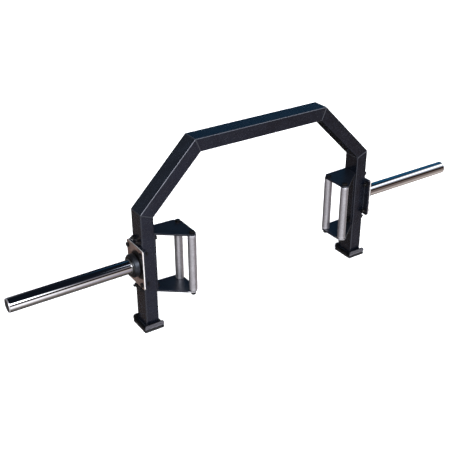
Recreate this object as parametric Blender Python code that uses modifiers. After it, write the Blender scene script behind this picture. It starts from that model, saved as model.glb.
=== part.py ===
"""Open-ended trap bar: a gate-shaped tube frame with two pairs of grips and two turning sleeves.

Sizes are in metres and +Z is up. The floor under the feet is z = 0, and the sleeves' axis runs along X.
The side at -X is called left and the side at +X right, and both are built by the same functions.
"""

import math

import bmesh
import bpy
from mathutils import Matrix, Vector

# Gaps
SEAT = 0.0003
RUNNING = 0.0003

# Frame of rectangular tube
TUBE_WIDTH = 0.050
TUBE_DEPTH = 0.070
TUBE_WALL = 0.003
TUBE_CORNER = 0.006
FRAME_WIDTH = 0.997
FRAME_HEIGHT = 0.686
SHOULDER_HEIGHT = 0.4635
BEAM_LENGTH = 0.558

# Feet
PAD_THICKNESS = 0.0085
SHOE_THICKNESS = 0.006
SHOE_HEIGHT = 0.0205
SHOE_OVERHANG = 0.013
SHOE_LIP_GAP = 0.006
SHOE_INNER_BEND = 0.001
SHOE_LIP_CORNER = 0.008
PAD_CORNER = 0.003

# Square flange that carries a sleeve
AXLE_HEIGHT = 0.2635
FLANGE_CORNER = 0.007
FLANGE_SIDE_MARGIN = 0.012
FLANGE_END_MARGIN = 0.0175
FLANGE_NUT_ROOM = 0.0017
FLANGE_TO_BRACKET_BOLTS = 0.019
MOUNT_PLATE_THICKNESS = 0.0065
SLEEVE_PLATE_THICKNESS = 0.0045

# Spindle, bushings and sleeve
SPINDLE_RADIUS = 0.014
SPINDLE_THREAD_RADIUS = 0.008
SPINDLE_THREAD_SPARE = 0.003
SPINDLE_CHAMFER = 0.001
THRUST_WASHER_RADIUS = 0.023
THRUST_WASHER_THICKNESS = 0.002
SLEEVE_RADIUS = 0.025
SLEEVE_LENGTH = 0.4515
SLEEVE_CHAMFER = 0.0012
COLLAR_RADIUS = 0.042
COLLAR_LENGTH = 0.0195
COLLAR_CHAMFER = 0.004
COLLAR_BACK_CHAMFER = 0.001
ROOT_RING_STEP = 0.0025
ROOT_RING_LENGTH = 0.004
ROOT_RING_CHAMFER = 0.0005
BUSHING_LENGTH = 0.030
BUSHING_WALL = 0.0029
LOCK_NUT_CLEARANCE = 0.0015
LOCK_NUT_FLANGE_THICKNESS = 0.003
LOCK_NUT_ACROSS_FLATS = 0.024
LOCK_NUT_HEIGHT = 0.016
LOCK_NUT_TO_CAP = 0.0137
CAP_THICKNESS = 0.003
CAP_CHAMFER = 0.001
CAP_STEP = 0.0005
CAP_SPIGOT_LENGTH = 0.012
CAP_WALL = 0.002

# Handles
HANDLE_HEIGHT = 0.233
HANDLE_PLATE_THICKNESS = 0.006
HANDLE_SIDE_INSET = 0.005
HANDLE_CORNER = 0.008
GRIP_RADIUS = 0.0153
GRIP_SPAN = 0.676
GRIP_PITCH = 0.095
GRIP_WALL = 0.004
GRIP_CHAMFER = 0.0008
REAR_SHOULDER_X = 0.005
REAR_SHOULDER_Y = 0.024
REAR_NOSE_Y = 0.004
FRONT_NOSE_Y = 0.004
FRONT_SHOULDER_X = 0.003
FRONT_SHOULDER_Y = 0.018

# Fasteners of one size throughout
BOLT_RADIUS = 0.005
BOLT_HEAD_ACROSS_FLATS = 0.017
BOLT_HEAD_HEIGHT = 0.0064
BOLT_WASHER_RADIUS = 0.010
BOLT_WASHER_THICKNESS = 0.002
BOLT_HOLE_CLEARANCE = 0.0005
BOLT_SPARE = 0.007
NUT_HEIGHT = 0.008
WELD_DEPTH = 0.0005
BRACKET_BOLT_SIDE_INSET = 0.010
BRACKET_BOLT_END_INSET = 0.021

# Facets
STEPS_LARGE = 32
STEPS_MEDIUM = 24
STEPS_SMALL = 12
STEPS_CORNER = 4
SHARP_ANGLE = math.radians(35)
WELD = 0.000002

# Places worked out from the sizes above
UPRIGHT_X = FRAME_WIDTH / 2
INNER_X = UPRIGHT_X - TUBE_WIDTH
BEAM_X = BEAM_LENGTH / 2
SHOE_WIDTH = TUBE_WIDTH + 2 * SHOE_OVERHANG
SHOE_DEPTH = TUBE_DEPTH + 2 * (SHOE_LIP_GAP + SHOE_THICKNESS)
SHOE_BEND = SHOE_THICKNESS + SHOE_INNER_BEND
UPRIGHT_FOOT = PAD_THICKNESS + SEAT + SHOE_THICKNESS + SEAT
NUT_RADIUS = BOLT_HEAD_ACROSS_FLATS / math.sqrt(3)
BOLT_HOLE_RADIUS = BOLT_RADIUS + BOLT_HOLE_CLEARANCE
HANDLE_DEPTH = TUBE_DEPTH - 2 * HANDLE_SIDE_INSET
BRACKET_BOLTS_Y = HANDLE_DEPTH - 2 * BRACKET_BOLT_SIDE_INSET
BRACKET_BOLTS_Z = HANDLE_HEIGHT - 2 * BRACKET_BOLT_END_INSET
FLANGE_BOLTS_Y = TUBE_DEPTH + 2 * (NUT_RADIUS + FLANGE_NUT_ROOM)
FLANGE_WIDTH = FLANGE_BOLTS_Y + 2 * FLANGE_SIDE_MARGIN
FLANGE_HEIGHT = BRACKET_BOLTS_Z - 2 * FLANGE_TO_BRACKET_BOLTS
FLANGE_BOLTS_Z = FLANGE_HEIGHT - 2 * FLANGE_END_MARGIN
MOUNT_PLATE_X = UPRIGHT_X + SEAT
SLEEVE_PLATE_X = MOUNT_PLATE_X + MOUNT_PLATE_THICKNESS + SEAT
FLANGE_FACE_X = SLEEVE_PLATE_X + SLEEVE_PLATE_THICKNESS
SLEEVE_START = 2 * RUNNING + THRUST_WASHER_THICKNESS
SLEEVE_END = SLEEVE_START + SLEEVE_LENGTH
SLEEVE_BORE_RADIUS = SPINDLE_RADIUS + RUNNING + BUSHING_WALL + SEAT
ROOT_RING_RADIUS = SLEEVE_RADIUS + ROOT_RING_STEP
LOCK_NUT_FLANGE_RADIUS = SLEEVE_BORE_RADIUS - LOCK_NUT_CLEARANCE
CAP_SPIGOT_END = SLEEVE_END + SEAT - CAP_SPIGOT_LENGTH
SPINDLE_END = CAP_SPIGOT_END - LOCK_NUT_TO_CAP
LOCK_NUT_START = SPINDLE_END - SPINDLE_THREAD_SPARE - LOCK_NUT_HEIGHT
JOURNAL_END = LOCK_NUT_START - SEAT
OUTER_BUSHING_START = JOURNAL_END - SEAT - BUSHING_LENGTH
GRIP_X = GRIP_SPAN / 2
BACK_PLATE_X = INNER_X - SEAT - HANDLE_PLATE_THICKNESS
HANDLE_ROOT_X = INNER_X - SEAT
HANDLE_PLATE_Z = HANDLE_HEIGHT / 2 - HANDLE_PLATE_THICKNESS / 2
BETWEEN_PLATES = HANDLE_HEIGHT - 2 * HANDLE_PLATE_THICKNESS - 2 * SEAT
GRIP_PLACES = {"rear": (GRIP_X, 0.0), "front": (GRIP_X, -GRIP_PITCH)}
CORNERS = {
    "front_lower": (-1, -1), "front_upper": (-1, 1), "back_lower": (1, -1), "back_upper": (1, 1)
}
FLANGE_BOLT_PLACES = {
    where: (y * FLANGE_BOLTS_Y / 2, z * FLANGE_BOLTS_Z / 2) for where, (y, z) in CORNERS.items()
}
BRACKET_BOLT_PLACES = {
    where: (y * BRACKET_BOLTS_Y / 2, z * BRACKET_BOLTS_Z / 2) for where, (y, z) in CORNERS.items()
}
QUARTER = math.pi / 2
SIDES = {"left": -1, "right": 1}


def new_collection(name):
    collection = bpy.data.collections.new(name)
    bpy.context.scene.collection.children.link(collection)
    return collection


def finish(name, colour, metallic, roughness):
    """A named material with one Principled shader."""
    material = bpy.data.materials.new(name)
    material.use_nodes = True
    shader = material.node_tree.nodes["Principled BSDF"]
    shader.inputs["Base Color"].default_value = (*colour, 1.0)
    shader.inputs["Metallic"].default_value = metallic
    shader.inputs["Roughness"].default_value = roughness
    return material


def add_object(name, data, collection=None):
    obj = bpy.data.objects.new(name, data)
    (collection or parts).objects.link(obj)
    return obj


def baked(obj):
    """The evaluated, welded mesh of an object that is then removed."""
    bpy.context.view_layer.update()
    graph = bpy.context.evaluated_depsgraph_get()
    mesh = bpy.data.meshes.new_from_object(obj.evaluated_get(graph))
    shape = bmesh.new()
    shape.from_mesh(mesh)
    bmesh.ops.remove_doubles(shape, verts=shape.verts, dist=WELD)
    bmesh.ops.recalc_face_normals(shape, faces=shape.faces)
    shape.to_mesh(mesh)
    shape.free()
    bpy.data.objects.remove(obj)
    return mesh


def smoothed(mesh):
    mesh.shade_smooth()
    mesh.set_sharp_from_angle(angle=SHARP_ANGLE)
    return mesh


def rounded(corners):
    """The outline through these (x, y, radius) corners, each turned by an arc of its own radius."""
    points = []
    for i, (x, y, radius) in enumerate(corners):
        here = Vector((x, y))
        if not radius:
            points.append(here)
            continue
        to_last = (Vector(corners[i - 1][:2]) - here).normalized()
        to_next = (Vector(corners[(i + 1) % len(corners)][:2]) - here).normalized()
        half = to_last.angle(to_next) / 2
        centre = here + (to_last + to_next).normalized() * radius / math.sin(half)
        spoke = here + to_last * radius / math.tan(half) - centre
        way = -1 if to_last.cross(to_next) > 0 else 1
        for k in range(STEPS_CORNER + 1):
            turn = Matrix.Rotation(way * (math.pi - 2 * half) * k / STEPS_CORNER, 2)
            points.append(centre + turn @ spoke)
    return points


def rectangle(width, height, radius):
    w, h = width / 2, height / 2
    return rounded([(x, y, radius) for x, y in ((-w, -h), (w, -h), (w, h), (-w, h))])


def circle(centre, radius, steps=STEPS_SMALL):
    x, y = centre
    turns = [2 * math.pi * k / steps for k in range(steps)]
    return [(x + radius * math.cos(a), y + radius * math.sin(a)) for a in turns]


def slab(outline, holes, thickness):
    """A flat sheet in local XY, centred on z = 0, with holes in its outline."""
    curve = bpy.data.curves.new("outline", "CURVE")
    curve.dimensions = "2D"
    curve.fill_mode = "BOTH"
    curve.extrude = thickness / 2
    for loop in [outline, *holes]:
        spline = curve.splines.new("POLY")
        spline.points.add(len(loop) - 1)
        for point, place in zip(spline.points, loop):
            point.co = (place[0], place[1], 0.0, 1.0)
        spline.use_cyclic_u = True
    return baked(add_object("slab", curve))


def turned(profile, steps):
    """A solid turned round local Z from (radius, height) points, down its outer side.

    A profile that starts or ends off the axis is closed into a ring.
    """
    edges = [(i, i + 1) for i in range(len(profile) - 1)]
    if profile[0][0] > 0 and profile[-1][0] > 0:
        edges.append((len(profile) - 1, 0))
    mesh = bpy.data.meshes.new("profile")
    mesh.from_pydata([(radius, 0.0, height) for radius, height in profile], edges, [])
    obj = add_object("turned", mesh)
    screw = obj.modifiers.new("turn", "SCREW")
    screw.steps = screw.render_steps = steps
    screw.use_merge_vertices = True
    screw.merge_threshold = WELD
    return smoothed(baked(obj))


def ring(inner, outer, low, high):
    """A plain turned ring between two radii and two heights."""
    return turned([(inner, high), (outer, high), (outer, low), (inner, low)], STEPS_MEDIUM)


def prism(across_flats, low, high):
    """A hexagonal bar along local Z."""
    shape = bmesh.new()
    radius = across_flats / math.sqrt(3)
    at = Matrix.Translation((0, 0, (low + high) / 2))
    bmesh.ops.create_cone(
        shape, cap_ends=True, segments=6, radius1=radius, radius2=radius, depth=high - low, matrix=at
    )
    mesh = bpy.data.meshes.new("prism")
    shape.to_mesh(mesh)
    shape.free()
    return mesh


def rod(radius, low, high, steps=STEPS_SMALL):
    """A round bar along local Z."""
    shape = bmesh.new()
    at = Matrix.Translation((0, 0, (low + high) / 2))
    bmesh.ops.create_cone(
        shape, cap_ends=True, segments=steps, radius1=radius, radius2=radius, depth=high - low, matrix=at
    )
    mesh = bpy.data.meshes.new("rod")
    shape.to_mesh(mesh)
    shape.free()
    return mesh


def cutter(mesh, matrix=None):
    obj = add_object("cutter", mesh, cutters)
    obj.matrix_world = matrix or Matrix.Identity(4)
    obj.hide_render = True
    obj.display_type = "WIRE"
    return obj


def cut(obj, other, operation="DIFFERENCE"):
    modifier = obj.modifiers.new(operation.lower(), "BOOLEAN")
    modifier.operation = operation
    modifier.solver = "EXACT"
    modifier.object = other


def hex_bolt(length, washer=0.0):
    """A bolt whose head, or a washer of this thickness under it, stands on z = 0, with its shank below."""
    head = add_object("bolt", prism(BOLT_HEAD_ACROSS_FLATS, washer, washer + BOLT_HEAD_HEIGHT))
    if washer:
        cut(head, cutter(rod(BOLT_WASHER_RADIUS, 0.0, washer, STEPS_MEDIUM)), "UNION")
    cut(head, cutter(rod(BOLT_RADIUS, -length, washer + BOLT_HEAD_HEIGHT / 2)), "UNION")
    return baked(head)


def weld_nut(obj, matrix):
    """Joins a nut to a plate or tube: it stands on the matrix's z = 0 and has a plain bore."""
    sunk = WELD_DEPTH
    cut(obj, cutter(prism(BOLT_HEAD_ACROSS_FLATS, -sunk, NUT_HEIGHT), matrix), "UNION")
    cut(obj, cutter(rod(BOLT_RADIUS + SEAT, -2 * sunk, 2 * NUT_HEIGHT), matrix))


def along_x(x, y, z, way):
    """The matrix that puts local Z along X, outwards for way = 1 and inwards for way = -1."""
    return Matrix.Translation((x, y, z)) @ Matrix.Rotation(way * QUARTER, 4, "Y")


def along_y(x, y, z):
    """The matrix that stands a slab up: local x along X, local y along Z."""
    return Matrix.Translation((x, y, z)) @ Matrix.Rotation(QUARTER, 4, "X")


def across_x(x, y, z):
    """The matrix that stands a slab up: local x along Y, local y along Z."""
    turn = Matrix.Rotation(QUARTER, 4, "Z") @ Matrix.Rotation(QUARTER, 4, "X")
    return Matrix.Translation((x, y, z)) @ turn


def piece(name, mesh, matrix, material, parent=None):
    """One named sub-part, placed in the frame or, for a turning piece, on its sleeve's axis."""
    obj = add_object(name, mesh)
    if not mesh.materials:
        mesh.materials.append(material)
    obj.parent = parent or datum
    obj.matrix_basis = matrix
    return obj


def frame_tube(name, start, end, cut_start, cut_end):
    """A tube whose outer face runs from start to end in the XZ plane, trimmed at either corner."""
    start, end = Vector(start), Vector(end)
    way = (end - start).normalized()
    inward = Vector((way.z, 0, -way.x))
    spare = TUBE_WIDTH
    low = start - way * (spare if cut_start else 0)
    high = end + way * (spare if cut_end else 0)
    outer = rectangle(TUBE_WIDTH, TUBE_DEPTH, TUBE_CORNER)
    inner = rectangle(TUBE_WIDTH - 2 * TUBE_WALL, TUBE_DEPTH - 2 * TUBE_WALL, TUBE_CORNER - TUBE_WALL)
    mesh = slab(outer, [inner], (high - low).length)
    middle = (low + high) / 2 + inward * TUBE_WIDTH / 2
    turn = Matrix.Rotation(math.atan2(way.x, way.z), 4, "Y")
    tube = add_object(name, mesh)
    tube.matrix_world = Matrix.Translation(middle) @ turn
    for corner, normal in ((start, cut_start), (end, cut_end)):
        if normal:
            cut(tube, mitre_cutter(corner, Vector(normal)))
    return tube


def mitre_cutter(corner, normal):
    """A block that takes away what lies past a mitre plane, less half of the gap at the joint."""
    size = 4 * TUBE_WIDTH + 2 * TUBE_DEPTH
    shape = bmesh.new()
    bmesh.ops.create_cube(shape, size=size)
    mesh = bpy.data.meshes.new("mitre")
    shape.to_mesh(mesh)
    shape.free()
    middle = corner + normal * (size / 2 - SEAT / 2)
    return cutter(mesh, Matrix.Translation(middle) @ normal.to_track_quat("Z", "X").to_matrix().to_4x4())


def build_frame(paint):
    """The two uprights, the two diagonals and the beam, cut from tube and welded at four mitres."""
    path = [
        (-UPRIGHT_X, 0, UPRIGHT_FOOT),
        (-UPRIGHT_X, 0, SHOULDER_HEIGHT),
        (-BEAM_X, 0, FRAME_HEIGHT),
        (BEAM_X, 0, FRAME_HEIGHT),
        (UPRIGHT_X, 0, SHOULDER_HEIGHT),
        (UPRIGHT_X, 0, UPRIGHT_FOOT),
    ]
    names = ["left_upright", "left_diagonal", "top_beam", "right_diagonal", "right_upright"]
    ways = [(Vector(b) - Vector(a)).normalized() for a, b in zip(path, path[1:])]
    mitres = [None] + [(a + b).normalized() for a, b in zip(ways, ways[1:])] + [None]
    for i, name in enumerate(names):
        start_cut = -mitres[i] if mitres[i] else None
        tube = frame_tube(name, path[i], path[i + 1], start_cut, mitres[i + 1])
        if name.endswith("upright"):
            side = SIDES[name.split("_")[0]]
            for y, z in BRACKET_BOLT_PLACES.values():
                hole = rod(BOLT_HOLE_RADIUS, -TUBE_WIDTH, TUBE_WIDTH)
                middle = side * (UPRIGHT_X - TUBE_WIDTH / 2)
                cut(tube, cutter(hole, along_x(middle, y, AXLE_HEIGHT + z, 1)))
                weld_nut(tube, along_x(side * UPRIGHT_X, y, AXLE_HEIGHT + z, side))
        matrix = tube.matrix_world.copy()
        piece(name, baked(tube), matrix, paint)


def build_foot(name, side, steel, rubber):
    """A folded shoe under the upright, on a rubber pad."""
    middle = side * (UPRIGHT_X - TUBE_WIDTH / 2)
    d, t, h = SHOE_DEPTH / 2, SHOE_THICKNESS, SHOE_HEIGHT
    inner_bend = SHOE_BEND - SHOE_THICKNESS
    spare = SHOE_HEIGHT
    channel = rounded([
        (-d, 0, SHOE_BEND), (d, 0, SHOE_BEND), (d, h + spare, 0), (d - t, h + spare, 0),
        (d - t, t, inner_bend), (t - d, t, inner_bend), (t - d, h + spare, 0), (-d, h + spare, 0),
    ])
    w, r = SHOE_WIDTH / 2, SHOE_LIP_CORNER
    front_view = rounded([(-w, -spare, 0), (w, -spare, 0), (w, h, r), (-w, h, r)])
    shoe = add_object("shoe", slab(channel, [], 2 * SHOE_WIDTH))
    shoe.matrix_world = across_x(middle, 0, PAD_THICKNESS + SEAT)
    profile = slab(front_view, [], 2 * SHOE_DEPTH)
    cut(shoe, cutter(profile, along_y(middle, 0, PAD_THICKNESS + SEAT)), "INTERSECT")
    matrix = shoe.matrix_world.copy()
    piece(name + "_foot_shoe", baked(shoe), matrix, steel)
    pad = slab(rectangle(SHOE_WIDTH, SHOE_DEPTH, PAD_CORNER), [], PAD_THICKNESS)
    piece(name + "_foot_pad", pad, Matrix.Translation((middle, 0, PAD_THICKNESS / 2)), rubber)


def build_flange(name, side, paint, steel, black):
    """The plate welded to the upright, the sleeve's plate bolted on it, and the four bolts."""
    outline = rectangle(FLANGE_WIDTH, FLANGE_HEIGHT, FLANGE_CORNER)
    bolt_holes = [circle(place, BOLT_HOLE_RADIUS) for place in FLANGE_BOLT_PLACES.values()]
    spindle_hole = circle((0, 0), SPINDLE_RADIUS + SEAT, STEPS_MEDIUM)
    mount = add_object("mount", slab(outline, bolt_holes, MOUNT_PLATE_THICKNESS))
    mount.matrix_world = across_x(side * (MOUNT_PLATE_X + MOUNT_PLATE_THICKNESS / 2), 0, AXLE_HEIGHT)
    for y, z in FLANGE_BOLT_PLACES.values():
        weld_nut(mount, along_x(side * MOUNT_PLATE_X, y, AXLE_HEIGHT + z, -side))
    matrix = mount.matrix_world.copy()
    piece(name + "_mounting_plate", baked(mount), matrix, paint)
    plate = slab(outline, [*bolt_holes, spindle_hole], SLEEVE_PLATE_THICKNESS)
    middle = side * (SLEEVE_PLATE_X + SLEEVE_PLATE_THICKNESS / 2)
    piece(name + "_sleeve_plate", plate, across_x(middle, 0, AXLE_HEIGHT), steel)
    clamped = SEAT + SLEEVE_PLATE_THICKNESS + SEAT + MOUNT_PLATE_THICKNESS
    bolt = hex_bolt(clamped + NUT_HEIGHT + BOLT_SPARE)
    seat = side * (FLANGE_FACE_X + SEAT)
    for where, (y, z) in FLANGE_BOLT_PLACES.items():
        piece(f"{name}_flange_bolt_{where}", bolt, along_x(seat, y, AXLE_HEIGHT + z, side), black)


def build_spindle(name, side, steel, bronze, black):
    """The fixed spindle, its thrust washer, and the flanged nut that keeps the sleeve on."""
    axis = along_x(side * FLANGE_FACE_X, 0, AXLE_HEIGHT, side)
    tip = SPINDLE_THREAD_RADIUS - SPINDLE_CHAMFER
    spindle = turned(
        [
            (0, SPINDLE_END), (tip, SPINDLE_END), (SPINDLE_THREAD_RADIUS, SPINDLE_END - SPINDLE_CHAMFER),
            (SPINDLE_THREAD_RADIUS, JOURNAL_END), (SPINDLE_RADIUS, JOURNAL_END),
            (SPINDLE_RADIUS, -SLEEVE_PLATE_THICKNESS), (0, -SLEEVE_PLATE_THICKNESS),
        ],
        STEPS_MEDIUM,
    )
    piece(name + "_spindle", spindle, axis, steel)
    thrust_end = RUNNING + THRUST_WASHER_THICKNESS
    thrust = ring(SPINDLE_RADIUS + SEAT, THRUST_WASHER_RADIUS, RUNNING, thrust_end)
    piece(name + "_thrust_washer", thrust, axis, bronze)
    nut = add_object("lock_nut", prism(LOCK_NUT_ACROSS_FLATS, 0.0, LOCK_NUT_HEIGHT))
    cut(nut, cutter(rod(LOCK_NUT_FLANGE_RADIUS, 0.0, LOCK_NUT_FLANGE_THICKNESS, STEPS_MEDIUM)), "UNION")
    bore = rod(SPINDLE_THREAD_RADIUS + SEAT, -LOCK_NUT_HEIGHT, 2 * LOCK_NUT_HEIGHT, STEPS_MEDIUM)
    cut(nut, cutter(bore))
    piece(name + "_lock_nut", baked(nut), axis @ Matrix.Translation((0, 0, LOCK_NUT_START)), black)


def build_sleeve(name, side, chrome, collar_steel, bronze):
    """The pieces that turn on the spindle: sleeve with its root ring, collar, bushings and cap."""
    axis = add_object(name + "_sleeve_axis", None)
    axis.parent = datum
    axis.matrix_basis = along_x(side * FLANGE_FACE_X, 0, AXLE_HEIGHT, side)
    still = Matrix.Identity(4)
    collar_end = SLEEVE_START + COLLAR_LENGTH
    step = collar_end + SEAT
    step_end = step + ROOT_RING_LENGTH
    tube = turned(
        [
            (SLEEVE_BORE_RADIUS, SLEEVE_END), (SLEEVE_RADIUS - SLEEVE_CHAMFER, SLEEVE_END),
            (SLEEVE_RADIUS, SLEEVE_END - SLEEVE_CHAMFER), (SLEEVE_RADIUS, step_end),
            (ROOT_RING_RADIUS - ROOT_RING_CHAMFER, step_end),
            (ROOT_RING_RADIUS, step_end - ROOT_RING_CHAMFER), (ROOT_RING_RADIUS, step),
            (SLEEVE_RADIUS, step), (SLEEVE_RADIUS, SLEEVE_START), (SLEEVE_BORE_RADIUS, SLEEVE_START),
        ],
        STEPS_LARGE,
    )
    piece(name + "_sleeve_tube", tube, still, chrome, axis)
    collar = turned(
        [
            (SLEEVE_RADIUS + SEAT, collar_end), (COLLAR_RADIUS - COLLAR_CHAMFER, collar_end),
            (COLLAR_RADIUS, collar_end - COLLAR_CHAMFER),
            (COLLAR_RADIUS, SLEEVE_START + COLLAR_BACK_CHAMFER),
            (COLLAR_RADIUS - COLLAR_BACK_CHAMFER, SLEEVE_START), (SLEEVE_RADIUS + SEAT, SLEEVE_START),
        ],
        STEPS_LARGE,
    )
    piece(name + "_shoulder_collar", collar, still, collar_steel, axis)
    for where, low in (("inner", SLEEVE_START), ("outer", OUTER_BUSHING_START)):
        inside, outside = SPINDLE_RADIUS + RUNNING, SLEEVE_BORE_RADIUS - SEAT
        bushing = ring(inside, outside, low, low + BUSHING_LENGTH)
        piece(f"{name}_{where}_bushing", bushing, still, bronze, axis)
    back, rim, spigot = SLEEVE_END + SEAT, SLEEVE_RADIUS - CAP_STEP, SLEEVE_BORE_RADIUS - SEAT
    face = back + CAP_THICKNESS
    cap = turned(
        [
            (0, face), (rim - CAP_CHAMFER, face), (rim, face - CAP_CHAMFER), (rim, back), (spigot, back),
            (spigot, CAP_SPIGOT_END), (spigot - CAP_WALL, CAP_SPIGOT_END),
            (spigot - CAP_WALL, back), (0, back),
        ],
        STEPS_LARGE,
    )
    piece(name + "_end_cap", cap, still, collar_steel, axis)


def build_handle(name, side, paint, grip_steel, black):
    """A bracket of three plates bolted through the upright, with two grips bolted between them."""
    nose = GRIP_X - GRIP_RADIUS
    corners = [
        (HANDLE_ROOT_X, HANDLE_DEPTH / 2, 0),
        (GRIP_X + REAR_SHOULDER_X, REAR_SHOULDER_Y, HANDLE_CORNER),
        (nose, REAR_NOSE_Y, HANDLE_CORNER),
        (nose, -GRIP_PITCH - FRONT_NOSE_Y, HANDLE_CORNER),
        (GRIP_X + FRONT_SHOULDER_X, -GRIP_PITCH - FRONT_SHOULDER_Y, HANDLE_CORNER),
        (HANDLE_ROOT_X, -HANDLE_DEPTH / 2, 0),
    ]
    outline = rounded([(side * x, y, radius) for x, y, radius in corners])
    holes = [circle((side * x, y), BOLT_HOLE_RADIUS) for x, y in GRIP_PLACES.values()]
    for where, way in (("top", 1), ("bottom", -1)):
        plate = add_object("plate", slab(outline, holes, HANDLE_PLATE_THICKNESS))
        plate.matrix_world = Matrix.Translation((0, 0, AXLE_HEIGHT + way * HANDLE_PLATE_Z))
        if where == "bottom":
            for x, y in GRIP_PLACES.values():
                under = Matrix.Translation((side * x, y, AXLE_HEIGHT - HANDLE_HEIGHT / 2))
                weld_nut(plate, under @ Matrix.Rotation(math.pi, 4, "X"))
        matrix = plate.matrix_world.copy()
        piece(f"{name}_handle_{where}_plate", baked(plate), matrix, paint)
    back_holes = [circle(place, BOLT_HOLE_RADIUS) for place in BRACKET_BOLT_PLACES.values()]
    back = slab(rectangle(HANDLE_DEPTH, BETWEEN_PLATES, 0), back_holes, HANDLE_PLATE_THICKNESS)
    middle = side * (BACK_PLATE_X + HANDLE_PLATE_THICKNESS / 2)
    piece(name + "_handle_back_plate", back, across_x(middle, 0, AXLE_HEIGHT), paint)
    half, edge = BETWEEN_PLATES / 2, GRIP_RADIUS - GRIP_CHAMFER
    grip = turned(
        [
            (GRIP_RADIUS - GRIP_WALL, half), (edge, half), (GRIP_RADIUS, half - GRIP_CHAMFER),
            (GRIP_RADIUS, GRIP_CHAMFER - half), (edge, -half), (GRIP_RADIUS - GRIP_WALL, -half),
        ],
        STEPS_MEDIUM,
    )
    grip_bolt = hex_bolt(SEAT + HANDLE_HEIGHT + NUT_HEIGHT + BOLT_SPARE, BOLT_WASHER_THICKNESS)
    for where, (x, y) in GRIP_PLACES.items():
        middle = Matrix.Translation((side * x, y, AXLE_HEIGHT))
        piece(f"{name}_{where}_grip", grip, middle, grip_steel)
        seat = Matrix.Translation((0, 0, HANDLE_HEIGHT / 2 + SEAT))
        piece(f"{name}_{where}_grip_bolt", grip_bolt, middle @ seat, black)
    bolt = hex_bolt(SEAT + HANDLE_PLATE_THICKNESS + SEAT + TUBE_WIDTH + NUT_HEIGHT + BOLT_SPARE)
    seat = side * (BACK_PLATE_X - SEAT)
    for where, (y, z) in BRACKET_BOLT_PLACES.items():
        piece(f"{name}_bracket_bolt_{where}", bolt, along_x(seat, y, AXLE_HEIGHT + z, -side), black)


def centre_footprint():
    """Moves the datum so that the object's box is centred on the origin from front to back."""
    bpy.context.view_layer.update()
    solids = [obj for obj in parts.objects if obj.type == "MESH"]
    ys = [(obj.matrix_world @ v.co).y for obj in solids for v in obj.data.vertices]
    datum.location.y = -(min(ys) + max(ys)) / 2


def main():
    paint = finish("black_powder_coat", (0.022, 0.024, 0.032), 0.0, 0.42)
    steel = finish("bare_steel", (0.42, 0.38, 0.36), 1.0, 0.38)
    shoe_steel = finish("shoe_grey", (0.20, 0.20, 0.23), 0.6, 0.45)
    collar_steel = finish("collar_grey", (0.17, 0.18, 0.21), 0.9, 0.32)
    chrome = finish("chrome", (0.78, 0.78, 0.80), 1.0, 0.08)
    grip_steel = finish("grip_steel", (0.58, 0.56, 0.58), 1.0, 0.40)
    black = finish("black_oxide", (0.025, 0.025, 0.028), 0.5, 0.45)
    bronze = finish("bronze", (0.45, 0.30, 0.14), 1.0, 0.35)
    rubber = finish("rubber", (0.012, 0.012, 0.012), 0.0, 0.75)
    build_frame(paint)
    for name, side in SIDES.items():
        build_foot(name, side, shoe_steel, rubber)
        build_flange(name, side, paint, steel, black)
        build_spindle(name, side, steel, bronze, black)
        build_sleeve(name, side, chrome, collar_steel, bronze)
        build_handle(name, side, paint, grip_steel, black)
    centre_footprint()


for old in list(bpy.data.objects):
    bpy.data.objects.remove(old)
parts = new_collection("open_ended_trap_bar")
cutters = new_collection("cutters")
datum = add_object("trap_bar_datum", None)
main()
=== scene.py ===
"""Looks of an open-ended trap bar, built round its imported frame.

Sizes are in metres and +Z is up. The floor is z = 0 and the sleeves' axis runs along X. The side at -X is
called left and the side at +X right. Places come from the boxes of the frame's nodes.
"""

import math

import bmesh
import bpy
from bpy.props import FloatProperty, FloatVectorProperty, IntProperty, PointerProperty
from mathutils import Matrix, Vector


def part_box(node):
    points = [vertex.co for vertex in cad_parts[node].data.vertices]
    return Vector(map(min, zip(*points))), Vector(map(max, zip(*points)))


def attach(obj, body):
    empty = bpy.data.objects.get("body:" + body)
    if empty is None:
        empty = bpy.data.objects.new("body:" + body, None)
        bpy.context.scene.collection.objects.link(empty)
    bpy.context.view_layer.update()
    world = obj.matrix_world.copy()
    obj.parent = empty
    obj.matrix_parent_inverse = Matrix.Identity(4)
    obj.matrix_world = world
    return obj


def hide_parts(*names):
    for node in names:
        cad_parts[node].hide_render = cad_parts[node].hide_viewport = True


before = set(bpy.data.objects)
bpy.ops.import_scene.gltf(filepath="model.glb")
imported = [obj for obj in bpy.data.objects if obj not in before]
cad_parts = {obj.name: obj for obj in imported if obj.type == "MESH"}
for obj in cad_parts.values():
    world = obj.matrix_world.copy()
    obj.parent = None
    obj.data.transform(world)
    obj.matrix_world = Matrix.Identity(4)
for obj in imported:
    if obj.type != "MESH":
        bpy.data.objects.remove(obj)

bl_info = {
    "name": "Open-ended Trap Bar",
    "version": (1, 0, 0),
    "blender": (4, 5, 0),
    "location": "3D View > Sidebar > Trap Bar",
    "description": "Dresses the frame of an open-ended trap bar and lights it in a plain studio",
    "category": "Object",
}

SIDES = {"left": -1, "right": 1}
PLACES = [f"{y}_{z}" for y in ("front", "back") for z in ("lower", "upper")]
QUARTER = math.pi / 2
FULL_TURN = 2 * math.pi
SHARP_ANGLE = math.radians(35)
BEVEL_ANGLE = math.radians(40)
BEVEL_SEGMENTS = 3
MERGE = 0.000002
SEAT_GAP = 0.0003
SENSOR_WIDTH = 36.0
VIEW_DISTANCE = 200.0
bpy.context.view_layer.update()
AXIS = sum(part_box("left_spindle"), Vector()) / 2

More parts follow.
